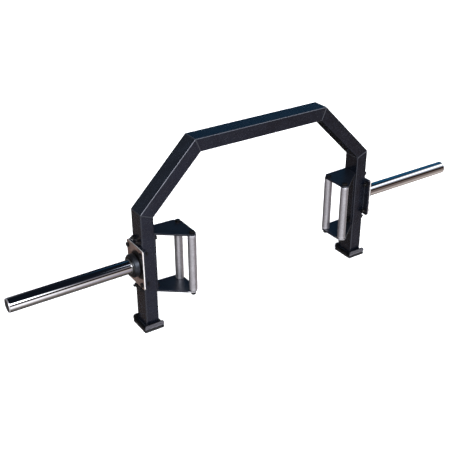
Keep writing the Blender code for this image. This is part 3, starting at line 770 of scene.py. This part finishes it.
def knurled_grip(tree, given):
    """A round bar with a diamond knurl between plain ends, copied onto points."""
    bar = tree.cylinder(given["Around"], given["Along"], given["Radius"], given["Length"])
    x, y, z = tree.split(tree.position())
    column = round(tree.math("ARCTAN2", y, x) / FULL_TURN * given["Around"])
    row = round((z / given["Length"] + 0.5) * given["Along"])
    reach, half = abs(z), given["Length"] / 2.0
    valley = (column + row) % 2.0 * (reach < half - given["Plain end"])
    sunk = valley * given["Knurl depth"] + (reach > half - GRIP_END) * given["End chamfer"]
    scale = 1.0 - sunk / given["Radius"]
    values = {"Geometry": bar, "Name": "knurl", "Value": valley}
    noted = tree.out("GeometryNodeStoreNamedAttribute", values, data_type="FLOAT", domain="POINT")
    cut = tree.moved(noted, x * scale, y * scale, z)
    return tree.out("GeometryNodeInstanceOnPoints", {"Points": given["Geometry"], "Instance": cut})


def threaded_stem(tree, given):
    """A threaded end that starts inside its nut, as geometry along Z."""
    overall = given["Stem reach"] + given["Height"]
    rows = round(overall / given["Thread pitch"] * ROWS_PER_THREAD)
    stem = tree.cylinder(STEM_FACETS, rows, given["Stem radius"], overall)
    x, y, z = tree.split(tree.position())
    phase = z / given["Thread pitch"] - tree.math("ARCTAN2", y, x) / FULL_TURN
    sunk = tree.math("PINGPONG", phase, 0.5) * 2.0 * given["Thread depth"]
    scale = 1.0 - sunk / given["Stem radius"]
    return tree.moved(stem, x * scale, y * scale, z + overall / 2.0)


def washer(tree, given):
    """A plain washer under a head that stands on z = 0."""
    disc = tree.cylinder(WASHER_FACETS, 1, given["Washer radius"], given["Washer thickness"])
    down = tree.join(0.0, 0.0, given["Washer thickness"] / -2.0)
    return tree.out("GeometryNodeTransform", {"Geometry": disc, "Translation": down})


def choice(tree, wanted, plain, extra):
    """The plain geometry, with the extra one beside it where it is wanted."""
    both = tree.node("GeometryNodeJoinGeometry")
    tree.put(extra, both.inputs[0])
    tree.put(plain, both.inputs[0])
    values = {"Switch": wanted, "False": plain, "True": Value(tree, both.outputs[0])}
    return tree.out("GeometryNodeSwitch", values, input_type="GEOMETRY")


def hex_fastener(tree, given):
    """Hexagons with chamfered corners and a washer face, and a threaded end where one is asked for."""
    drum = tree.cylinder(HEXAGON_FACETS, HEXAGON_ROWS, 1.0, given["Height"])
    x, y, z = tree.split(tree.position())
    turn = tree.math("ARCTAN2", y, x)
    flat, half, sixth = given["Across flats"] / 2.0, given["Height"] / 2.0, math.pi / 3
    hexagon = flat / tree.math("COSINE", (turn + MERGE) % sixth - sixth / 2)
    cone = flat * CROWN + (half - z) * CHAMFER_SLOPE
    above = z + half
    in_face = above < given["Washer face"]
    radius = tree.math("MINIMUM", hexagon, cone) * (1.0 - in_face) + flat * FACE * in_face
    head = tree.moved(drum, radius * tree.math("COSINE", turn), radius * tree.math("SINE", turn), above)
    kind = choice(tree, given["With stem"], head, threaded_stem(tree, given))
    kind = choice(tree, given["With washer"], kind, washer(tree, given))
    way = tree.out("GeometryNodeInputNamedAttribute", {"Name": "way"}, data_type="FLOAT_VECTOR")
    turned_to = tree.out("FunctionNodeAlignRotationToVector", {"Vector": way}, axis="Z")
    values = {"Points": given["Geometry"], "Instance": kind, "Rotation": turned_to}
    return tree.out("GeometryNodeInstanceOnPoints", values)


def weld_bead(tree, given):
    """Weld beads: a round skin along lines, stepped by one ripple after another."""
    line = tree.out("GeometryNodeMeshToCurve", {0: given["Geometry"]})
    values = {"Curve": line, "Length": given["Ripple pitch"] / STEPS_PER_RIPPLE}
    even = tree.out("GeometryNodeResampleCurve", values, mode="LENGTH")
    run = tree.out("GeometryNodeSplineParameter", output="Length")
    wave = tree.math("FRACT", run / given["Ripple pitch"])
    radius = given["Bead radius"] * (1.0 - wave * given["Ripple depth"])
    sized = tree.out("GeometryNodeSetCurveRadius", {"Curve": even, "Radius": radius})
    ring = tree.out("GeometryNodeCurvePrimitiveCircle", {"Resolution": BEAD_FACETS, "Radius": 1.0})
    skin = tree.node("GeometryNodeCurveToMesh", {"Curve": sized, "Profile Curve": ring, "Fill Caps": True})
    if "Scale" in skin.inputs:
        tree.put(tree.out("GeometryNodeInputRadius"), skin.inputs["Scale"])
    return Value(tree, skin.outputs[0])


def middle(node):
    low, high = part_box(node)
    return (low + high) / 2


def side_x(node, way):
    """X of the side of a node that way points to: -1 for its left side, 1 for its right side."""
    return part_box(node)[1 if way > 0 else 0].x


class TRAPBAR_OT_gate(bpy.types.Operator):
    """Builds the gate of rectangular tube, mitred at four corners with ground welds."""

    bl_idname = "trap_bar.gate"
    bl_label = "Gate of tube"

    def execute(self, context):
        settings = context.scene.trap_bar_gate
        low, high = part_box("right_upright")
        outer, top = side_x("right_diagonal", 1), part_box("top_beam")[1]
        self.size, self.corner = Vector((outer - low.x, high.y - low.y)), settings.tube_corner
        path = [Vector((x, 0.0, z)) for x, z in ((-outer, low.z), (-outer, high.z), (-top.x, top.z))]
        path += [Vector((-p.x, 0.0, p.z)) for p in reversed(path)]
        ways = [(b - a).normalized() for a, b in zip(path, path[1:])]
        inward = [Vector((way.z, 0.0, -way.x)) for way in ways]
        reach, deep = settings.seam_reach, settings.seam_depth
        seam = [(reach * GROOVE_OUTER, 0.0), (reach, deep), (reach * GROOVE_INNER, 0.0), (0.0, 0.0)]
        rings = [self.ring(path[0], inward[0])]
        for i in range(1, len(path) - 1):
            across = (inward[i - 1] + inward[i]) / (1 + inward[i - 1].dot(inward[i]))
            before = [(-t, sunk, ways[i - 1]) for t, sunk in seam]
            after = [(t, sunk, ways[i]) for t, sunk in reversed(seam[:-1])]
            rings += [self.ring(path[i] + way * t, across, sunk) for t, sunk, way in before + after]
        rings.append(self.ring(path[-1], inward[-1]))
        nodes = ["top_beam"] + [f"{side}_{part}" for side in SIDES for part in ("diagonal", "upright")]
        piece("gate_frame", shaded(lofted(rings)), "gate_coat", nodes)
        return {"FINISHED"}

    def ring(self, corner, across, sunk=0.0):
        """One section of the tube: across runs from its outer to its inner face."""
        width, half = self.size.x, self.size.y / 2
        outline = rectangle((sunk, sunk - half), (width - sunk, half - sunk), self.corner - sunk)
        return [corner + across * p[0] + Vector((0.0, AXIS.y + p[1], 0.0)) for p in outline]


class TRAPBAR_OT_welds(bpy.types.Operator):
    """Lays the fillet welds at the flanges, brackets and feet."""

    bl_idname = "trap_bar.welds"
    bl_label = "Weld beads"

    def execute(self, context):
        settings = context.scene.trap_bar_gate
        lines = [line for side in SIDES for line in self.side_lines(side, settings.tube_corner)]
        values = {
            "Bead radius": settings.bead_radius, "Ripple pitch": settings.ripple_pitch,
            "Ripple depth": settings.ripple_depth, "Material": finish("weld_coat"),
        }
        piece("weld_beads", shaded(grown(lines_mesh(lines), weld_bead, values)), "weld_coat")
        return {"FINISHED"}

    def side_lines(self, side, corner):
        way = SIDES[side]
        low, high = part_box(side + "_upright")
        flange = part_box(side + "_sleeve_plate")
        outer, inner = side_x(side + "_diagonal", way), side_x(side + "_upright", -way)
        rise = (flange[0].z + corner, flange[1].z - corner)
        lines = [[(outer, y, z) for z in rise] for y in (low.y, high.y)]
        around = rectangle((min(outer, inner), low.y), (max(outer, inner), high.y), corner, steps=4)
        lines.append([(x, y, low.z) for x, y in [*around, around[0]]])
        face = side_x(side + "_handle_back_plate", -way)
        for where, edge in (("top", 0), ("bottom", 1)):
            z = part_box(f"{side}_handle_{where}_plate")[edge].z
            lines.append([(face, y, z) for y in (low.y + corner, high.y - corner)])
        return lines


class TRAPBAR_OT_feet(bpy.types.Operator):
    """Folds the shoe under each upright and moulds its rubber pad."""

    bl_idname = "trap_bar.feet"
    bl_label = "Feet"

    def execute(self, context):
        settings = context.scene.trap_bar_plates
        for side in SIDES:
            shoe = self.shoe(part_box(side + "_foot_shoe"), settings)
            plate(side + "_shoe", shoe, "shoe_grey", side + "_foot_shoe")
            low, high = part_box(side + "_foot_pad")
            pad = slab(rectangle(low.xy, high.xy, settings.pad_corner, steps=5), low.z, high.z)
            plate(side + "_pad", pad, "rubber", side + "_foot_pad")
        return {"FINISHED"}

    def shoe(self, box, settings):
        """A strip folded up at both ends: sections of the sheet along its middle line."""
        low, high = box
        sheet, bend, corner = settings.shoe_sheet, settings.shoe_bend, settings.shoe_lip_corner
        centre_radius = bend - sheet / 2
        lip = high.z - low.z - bend
        drops = [corner * share for share in LIP_SHARES] + [lip]
        stations = [(low.y + sheet / 2, high.z - drop, 0.0, drop) for drop in drops]
        for k in range(1, BEND_STEPS + 1):
            turn = QUARTER * k / BEND_STEPS
            y = low.y + bend - centre_radius * math.cos(turn)
            z = low.z + bend - centre_radius * math.sin(turn)
            stations.append((y, z, turn, lip))
        stations += [(low.y + high.y - y, z, math.pi - turn, drop) for y, z, turn, drop in reversed(stations)]
        rings = []
        for y, z, turn, drop in stations:
            out = Vector((0.0, math.cos(turn), math.sin(turn))) * sheet / 2
            cut_back = corner - math.sqrt(max(0.0, corner ** 2 - (corner - min(drop, corner)) ** 2))
            left, right = low.x + cut_back, high.x - cut_back
            ring = ((left, -1), (right, -1), (right, 1), (left, 1))
            rings.append([Vector((x, y, z)) + out * face for x, face in ring])
        return lofted(rings)


class TRAPBAR_OT_flanges(bpy.types.Operator):
    """Cuts the black mounting plate and the bare sleeve plate of each side."""

    bl_idname = "trap_bar.flanges"
    bl_label = "Flange plates"

    def execute(self, context):
        settings = context.scene.trap_bar_plates
        stood_up = Matrix(((0, 0, 1, 0), (1, 0, 0, 0), (0, 1, 0, 0), (0, 0, 0, 1)))
        for side, way in SIDES.items():
            low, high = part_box(side + "_sleeve_plate")
            outline = rectangle(low.yz, high.yz, settings.flange_corner)
            flange = slab(outline, low.x, high.x, stood_up)
            plate(side + "_sleeve_flange", flange, "bare_steel", side + "_sleeve_plate")
            ends = sorted((side_x(side + "_mounting_plate", way), side_x(side + "_diagonal", way)))
            mount = slab(outline, *ends, stood_up)
            plate(side + "_mount_flange", mount, "black_powder_coat", side + "_mounting_plate")
        return {"FINISHED"}


class TRAPBAR_OT_brackets(bpy.types.Operator):
    """Cuts the three plates of each handle bracket."""

    bl_idname = "trap_bar.brackets"
    bl_label = "Handle brackets"

    def execute(self, context):
        settings = context.scene.trap_bar_plates
        for side, way in SIDES.items():
            outline = self.outline(side, way, settings)
            top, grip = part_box(side + "_handle_top_plate"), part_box(side + "_rear_grip")
            thickness = top[1].z - top[0].z
            under = grip[0].z - (top[0].z - grip[1].z)
            for where, low in (("top", top[0].z), ("bottom", under - thickness)):
                bracket = slab(outline, low, low + thickness)
                plate(f"{side}_bracket_{where}", bracket, "plate_coat", f"{side}_handle_{where}_plate")
            low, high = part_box(side + "_handle_back_plate")
            back = slab(rectangle(low.xy, high.xy, 0.0), low.z, high.z)
            plate(side + "_bracket_back", back, "black_powder_coat", side + "_handle_back_plate")
        return {"FINISHED"}

    def outline(self, side, way, settings):
        rear, front = middle(side + "_rear_grip"), middle(side + "_front_grip")
        root, nose = (side_x(side + "_handle_top_plate", toward) for toward in (way, -way))
        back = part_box(side + "_handle_back_plate")
        corner, lead = settings.handle_corner, settings.nose_lead
        return rounded([
            (root, back[1].y, 0.0),
            (rear.x + way * settings.rear_shoulder[0], rear.y + settings.rear_shoulder[1], corner),
            (nose, rear.y + lead, corner),
            (nose, front.y - lead, corner),
            (front.x + way * settings.front_shoulder[0], front.y - settings.front_shoulder[1], corner),
            (root, back[0].y, 0.0),
        ])


class TRAPBAR_OT_grips(bpy.types.Operator):
    """Knurls the four grips."""

    bl_idname = "trap_bar.grips"
    bl_label = "Grips"

    def execute(self, context):
        settings = context.scene.trap_bar_grips
        nodes = [f"{side}_{where}_grip" for side in SIDES for where in ("rear", "front")]
        low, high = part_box(nodes[0])
        values = {
            "Radius": (high.x - low.x) / 2, "Length": high.z - low.z, "Around": settings.around,
            "Along": settings.along, "Knurl depth": settings.knurl_depth, "Plain end": settings.plain_end,
            "End chamfer": settings.end_chamfer, "Material": finish("grip_steel"),
        }
        mesh = grown(points_mesh([middle(node) for node in nodes]), knurled_grip, values)
        mesh.shade_smooth()
        mesh.set_sharp_from_angle(angle=SHARP_ANGLE)
        piece("grips", mesh, "grip_steel", nodes)
        return {"FINISHED"}


class TRAPBAR_OT_fasteners(bpy.types.Operator):
    """Sets the bolt heads and the nuts with their threaded ends."""

    bl_idname = "trap_bar.fasteners"
    bl_label = "Bolts and nuts"

    def execute(self, context):
        self.settings = settings = context.scene.trap_bar_fasteners
        sets = {"grip_bolt": ("rear", "front"), "bracket_bolt": PLACES, "flange_bolt": PLACES}
        for kind, places in sets.items():
            at_grip = kind == "grip_bolt"
            form = "{side}_{where}_{kind}" if at_grip else "{side}_{kind}_{where}"
            spots = {
                form.format(side=side, where=where, kind=kind): way
                for side, way in SIDES.items() for where in places
            }
            heads, nuts, ways = zip(*(self.ends(node, kind, way) for node, way in spots.items()))
            self.make(kind + "_heads", heads, ways, settings.head_height, False, at_grip, spots)
            height = settings.lock_nut_height if at_grip else settings.nut_height
            self.make(kind + "_nuts", nuts, [-way for way in ways], height, True, False)
        return {"FINISHED"}

    def ends(self, node, kind, out):
        """Where a bolt's head stands, where its nut stands, and the way that the head points."""
        low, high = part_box(node)
        reach = self.settings.nut_height + self.settings.stem_reach
        if kind == "grip_bolt":
            way = Vector((0, 0, 1))
        else:
            way = Vector((out if kind == "flange_bolt" else -out, 0, 0))
        half_length = abs((high - low).dot(way)) / 2
        head = middle(node) + way * (half_length - self.settings.head_height)
        nut = middle(node) - way * (half_length - reach)
        return head, nut, way

    def make(self, name, places, ways, height, with_stem, with_washer, nodes=()):
        settings = self.settings
        values = {
            "Across flats": settings.across_flats, "Height": height, "Washer face": settings.washer_face,
            "Stem radius": settings.stem_radius, "Thread pitch": settings.thread_pitch,
            "Stem reach": settings.nut_height + settings.stem_reach - height,
            "Thread depth": settings.thread_depth, "Washer radius": settings.washer_radius,
            "Washer thickness": settings.washer_thickness, "With stem": with_stem,
            "With washer": with_washer, "Material": finish("black_oxide"),
        }
        mesh = grown(points_mesh(places, ways), hex_fastener, values)
        piece(name, shaded(mesh), "black_oxide", nodes)


class TRAPBAR_OT_sleeves(bpy.types.Operator):
    """Turns the chromed sleeves, their collars and their end caps."""

    bl_idname = "trap_bar.sleeves"
    bl_label = "Sleeves"

    def execute(self, context):
        settings = context.scene.trap_bar_sleeves
        for side, way in SIDES.items():
            matrix = Matrix.Translation((0.0, AXIS.y, AXIS.z)) @ Matrix.Rotation(way * QUARTER, 4, "Y")
            parts = ("sleeve_tube", "shoulder_collar", "end_cap")
            tube, collar, cap = (self.reach(f"{side}_{part}", way) for part in parts)
            profiles = {
                "sleeve": (self.tube(tube, collar, settings), "chrome"),
                "collar": (self.collar(collar, settings), "collar_grey"),
                "cap": (self.cap(tube, cap, settings), "cap_steel"),
            }
            for part, (name, (profile, finish_name)) in zip(parts, profiles.items()):
                mesh = turned(profile, matrix, settings.segments, finish_name)
                piece(f"{side}_{name}", mesh, finish_name, [f"{side}_{part}"], "sleeve_" + side)
        return {"FINISHED"}

    def reach(self, node, way):
        """Where a turned node starts and ends, measured outwards along X, and its largest radius."""
        low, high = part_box(node)
        start, end = sorted((low.x * way, high.x * way))
        return start, end, (high.z - low.z) / 2

    def tube(self, tube, collar, settings):
        start, end, ring = tube
        radius, bore, soft = settings.radius, settings.bore, settings.end_round
        ring_start = collar[1] + SEAT_GAP
        ring_end = ring_start + settings.ring_length
        lip = settings.ring_chamfer
        turns = [QUARTER * k / ROUND_STEPS for k in range(ROUND_STEPS + 1)]
        outer_end = [(radius - soft + soft * math.sin(t), end - soft + soft * math.cos(t)) for t in turns]
        return [
            (bore, start), (bore, end), *outer_end, (radius, ring_end), (ring - lip, ring_end),
            (ring, ring_end - lip), (ring, ring_start), (radius, ring_start), (radius, start), (bore, start),
        ]

    def collar(self, collar, settings):
        start, end, radius = collar
        bore, front, back = settings.radius + SEAT_GAP, settings.collar_chamfer, settings.collar_back_chamfer
        return [
            (bore, start), (bore, end), (radius - front, end), (radius, end - front), (radius, start + back),
            (radius - back, start), (bore, start),
        ]

    def cap(self, tube, cap, settings):
        _, face, rim = cap
        back, dish, chamfer = tube[1] + SEAT_GAP, settings.cap_dish, settings.cap_chamfer
        inside = rim - settings.cap_rim
        return [
            (0.0, face - dish), (inside - dish, face - dish), (inside, face), (rim - chamfer, face),
            (rim, face - chamfer), (rim, back), (0.0, back),
        ]


class TRAPBAR_OT_inner_pieces(bpy.types.Operator):
    """Gives the pieces inside the sleeves their finishes."""

    bl_idname = "trap_bar.inner_pieces"
    bl_label = "Spindles and bushings"

    def execute(self, context):
        kinds = {
            "spindle": "bare_steel", "thrust_washer": "bronze", "inner_bushing": "bronze",
            "outer_bushing": "bronze", "lock_nut": "black_oxide",
        }
        for side in SIDES:
            for kind, finish_name in kinds.items():
                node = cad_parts[f"{side}_{kind}"]
                if not node.data.materials:
                    node.data.materials.append(None)
                for slot in node.material_slots:
                    slot.material = finish(finish_name)
        return {"FINISHED"}


# Light that the metal mirrors. A patch has four azimuths in degrees, from the front (-Y) towards +X, and four
# heights over the horizon. It rises between the first two and falls between the last two. Its colour is
# plain, or it is two heights with the colours below the lower and above the upper one.
ANY = None
LEFT_REAR, RIGHT_REAR = (-181, -180, -172, -164), (164, 172, 180, 181)
ROOM = {
    "ceiling": (ANY, (30, 55, 90, 91), (0.005, 0.007, 0.012)),
    "front wall": ((-100, -60, 60, 100), (-91, -90, 12, 22), (0.020, 0.008, 0.003)),
    "haze": ((-26, -14, 42, 54), (13, 21, 30, 38), (0.17, 0.165, 0.19)),
    "blue wall": (
        (95, 111, 151, 155), (-91, -90, 40, 58), (8, 24, (0.045, 0.115, 0.188), (0.010, 0.076, 0.162)),
    ),
    "left wall": ((-175, -155, -125, -105), (-2, 14, 32, 48), (0.15, 0.175, 0.205)),
    "left rear window": (LEFT_REAR, (8, 20, 38, 50), (0.55, 0.56, 0.60)),
    "right rear window": (RIGHT_REAR, (8, 20, 38, 50), (0.55, 0.56, 0.60)),
}
REAR_GROUND = {
    "dark right": ((130, 146, 171, 187), ANY, (0.02, 0.018, 0.018)),
    "left horizon": ((-181, -180, -168, -156), (-30, -16, 90, 91), (0.70, 0.69, 0.71)),
    "right horizon": ((156, 168, 180, 181), (-30, -16, 90, 91), (0.70, 0.69, 0.71)),
}
RIGHT_GROUND = {
    "warm glow": ((40, 60, 70, 90), (-53, -41, -40, -28), (0.64, 0.57, 0.53)),
    "cool floor": ((2, 18, 34, 50), (-45, -35, -25, -15), (0.35, 0.335, 0.44)),
    "shade": ((34, 40, 44, 50), (-32, -24, -12, -4), (0.17, 0.13, 0.125)),
}
SIDE_GROUND = {
    "right": ((74, 90, 118, 134), (-46, -34, -14, -2), (0.80, 0.78, 0.82)),
    "left": ((-124, -108, -74, -58), (-46, -34, -14, -2), (0.80, 0.78, 0.82)),
    "sweep": ((-72, -60, 12.5, 24.5), ANY, (-68, -16, (0.13, 0.125, 0.12), (1.42, 1.39, 1.43))),
}
WINDOWS = {
    "side window": ((38, 54, 72, 104), (20, 46, 43, 50), (1.9, 2.0, 2.2)),
    "strip": ((34.5, 39.5, 44.5, 49.5), (26, 34, 50, 58), (5.0, 5.6, 6.8)),
    "near window": ((-69, -55, 6, 20), (18, 28, 35, 45), (17.0, 17.2, 18.0)),
}


class TRAPBAR_OT_stage(bpy.types.Operator):
    """Lays the floor, hangs the soft light and sets the camera."""

    bl_idname = "trap_bar.stage"
    bl_label = "Studio"

    def execute(self, context):
        settings = context.scene.trap_bar_stage
        context.scene.view_settings.view_transform = "Standard"
        self.floor(settings)
        self.world(context.scene, settings)
        self.key_light(settings)
        self.camera(context.scene, settings)
        return {"FINISHED"}

    def floor(self, settings):
        half = settings.floor_size / 2
        mesh = bpy.data.meshes.new("floor")
        corners = [(x * half, y * half, 0.0) for x, y in ((-1, -1), (1, -1), (1, 1), (-1, 1))]
        mesh.from_pydata(corners, [], [(0, 1, 2, 3)])
        material = bpy.data.materials.new("floor")
        material.use_nodes = True
        tree = Tree(material.node_tree)
        colour = (*settings.floor_colour, 1.0)
        tree.paint(Base_Color=colour, Roughness=1.0, Specular_IOR_Level=0.0)
        tree.paint(Emission_Color=colour, Emission_Strength=settings.floor_glow)
        mesh.materials.append(material)
        floor = linked("floor", mesh)
        floor.visible_glossy = False

    def world(self, scene, settings):
        """A studio as the metal sees it: soft windows before it, a dark room above, a pale floor."""
        world = scene.world = bpy.data.worlds.new("studio")
        world.use_nodes = True
        world.node_tree.nodes.clear()
        self.tree = tree = Tree(world.node_tree)
        x, y, z = tree.split(tree.out("ShaderNodeTexCoord", output="Generated"))
        self.azimuth = tree.math("DEGREES", tree.math("ARCTAN2", x, y * -1.0))
        self.height = tree.math("DEGREES", tree.math("ARCSINE", z))
        rear = self.lit(self.graded(-70, -30, (0.06, 0.055, 0.05), (0.15, 0.12, 0.11)), REAR_GROUND)
        right = self.lit(self.graded(-64, -42, (0.13, 0.12, 0.115), (0.36, 0.30, 0.265)), RIGHT_GROUND)
        ground = tree.mix(tree.span(self.azimuth, -4, 24, 106, 134), rear, right)
        room = self.lit((0.013, 0.016, 0.024), ROOM)
        light = tree.mix(tree.step(self.height, -12.0, 3.0), self.lit(ground, SIDE_GROUND), room)
        light = self.lit(light, WINDOWS)
        colours = ({"Color": light}, {"Color": (*settings.backdrop, 1.0)})
        mirrored, seen = (tree.out("ShaderNodeBackground", colour) for colour in colours)
        direct = tree.out("ShaderNodeLightPath", output="Is Camera Ray")
        both = tree.out("ShaderNodeMixShader", {0: direct, 1: mirrored, 2: seen})
        tree.node("ShaderNodeOutputWorld", {"Surface": both})

    def graded(self, low, high, below, above):
        return self.tree.mix(self.tree.step(self.height, low, high), below, above)

    def lit(self, light, patches):
        """The light with patches laid over it in turn."""
        for azimuths, heights, colour in patches.values():
            if len(colour) == 4:
                colour = self.graded(*colour)
            spans = [(self.azimuth, azimuths), (self.height, heights)]
            shares = [self.tree.span(value, *ends) for value, ends in spans if ends is not ANY]
            light = self.tree.mix(shares[0] * shares[1] if len(shares) == 2 else shares[0], light, colour)
        return light

    def key_light(self, settings):
        """One broad soft light from overhead, kept out of the reflections."""
        light = bpy.data.lights.new("key", "SUN")
        light.energy = settings.key_strength
        light.angle = settings.key_angle
        key = linked("key", light)
        key.rotation_euler = settings.key_turn
        key.visible_glossy = False

    def camera(self, scene, settings):
        camera = scene.camera = linked("camera", bpy.data.cameras.new("camera"))
        pitch, roll, yaw = settings.turn
        turn = Matrix.Rotation(yaw, 4, "Z") @ Matrix.Rotation(pitch, 4, "X") @ Matrix.Rotation(roll, 4, "Y")
        lens_first = Matrix.Rotation(QUARTER, 4, "X")
        camera.matrix_world = Matrix.Translation(settings.place) @ turn @ lens_first
        camera.data.sensor_width = SENSOR_WIDTH
        camera.data.lens = settings.lens
        camera.data.clip_end = VIEW_DISTANCE


class TRAPBAR_PT_panel(bpy.types.Panel):
    """Lists the operators and the settings in the sidebar."""

    bl_label = "Trap Bar"
    bl_idname = "TRAPBAR_PT_panel"
    bl_space_type = "VIEW_3D"
    bl_region_type = "UI"
    bl_category = "Trap Bar"

    def draw(self, context):
        for operator in OPERATORS:
            self.layout.operator(operator.bl_idname)
        for name, made in SETTINGS.items():
            box = self.layout.box()
            for prop in made.__annotations__:
                box.prop(getattr(context.scene, name), prop)


OPERATORS = (
    TRAPBAR_OT_stage, TRAPBAR_OT_gate, TRAPBAR_OT_welds, TRAPBAR_OT_feet, TRAPBAR_OT_flanges,
    TRAPBAR_OT_brackets, TRAPBAR_OT_grips, TRAPBAR_OT_fasteners, TRAPBAR_OT_sleeves,
    TRAPBAR_OT_inner_pieces,
)
SETTINGS = {
    "trap_bar_finishes": TrapBarFinishes,
    "trap_bar_gate": TrapBarGate,
    "trap_bar_plates": TrapBarPlates,
    "trap_bar_grips": TrapBarGrips,
    "trap_bar_fasteners": TrapBarFasteners,
    "trap_bar_sleeves": TrapBarSleeves,
    "trap_bar_stage": TrapBarStage,
}


def register():
    for made in (*SETTINGS.values(), *OPERATORS, TRAPBAR_PT_panel):
        bpy.utils.register_class(made)
    for name, made in SETTINGS.items():
        setattr(bpy.types.Scene, name, PointerProperty(type=made))


def unregister():
    for name in SETTINGS:
        delattr(bpy.types.Scene, name)
    for made in (TRAPBAR_PT_panel, *reversed(OPERATORS), *SETTINGS.values()):
        bpy.utils.unregister_class(made)


def main():
    register()
    for operator in OPERATORS:
        section, name = operator.bl_idname.split(".")
        getattr(getattr(bpy.ops, section), name)()


if __name__ == "__main__":
    main()
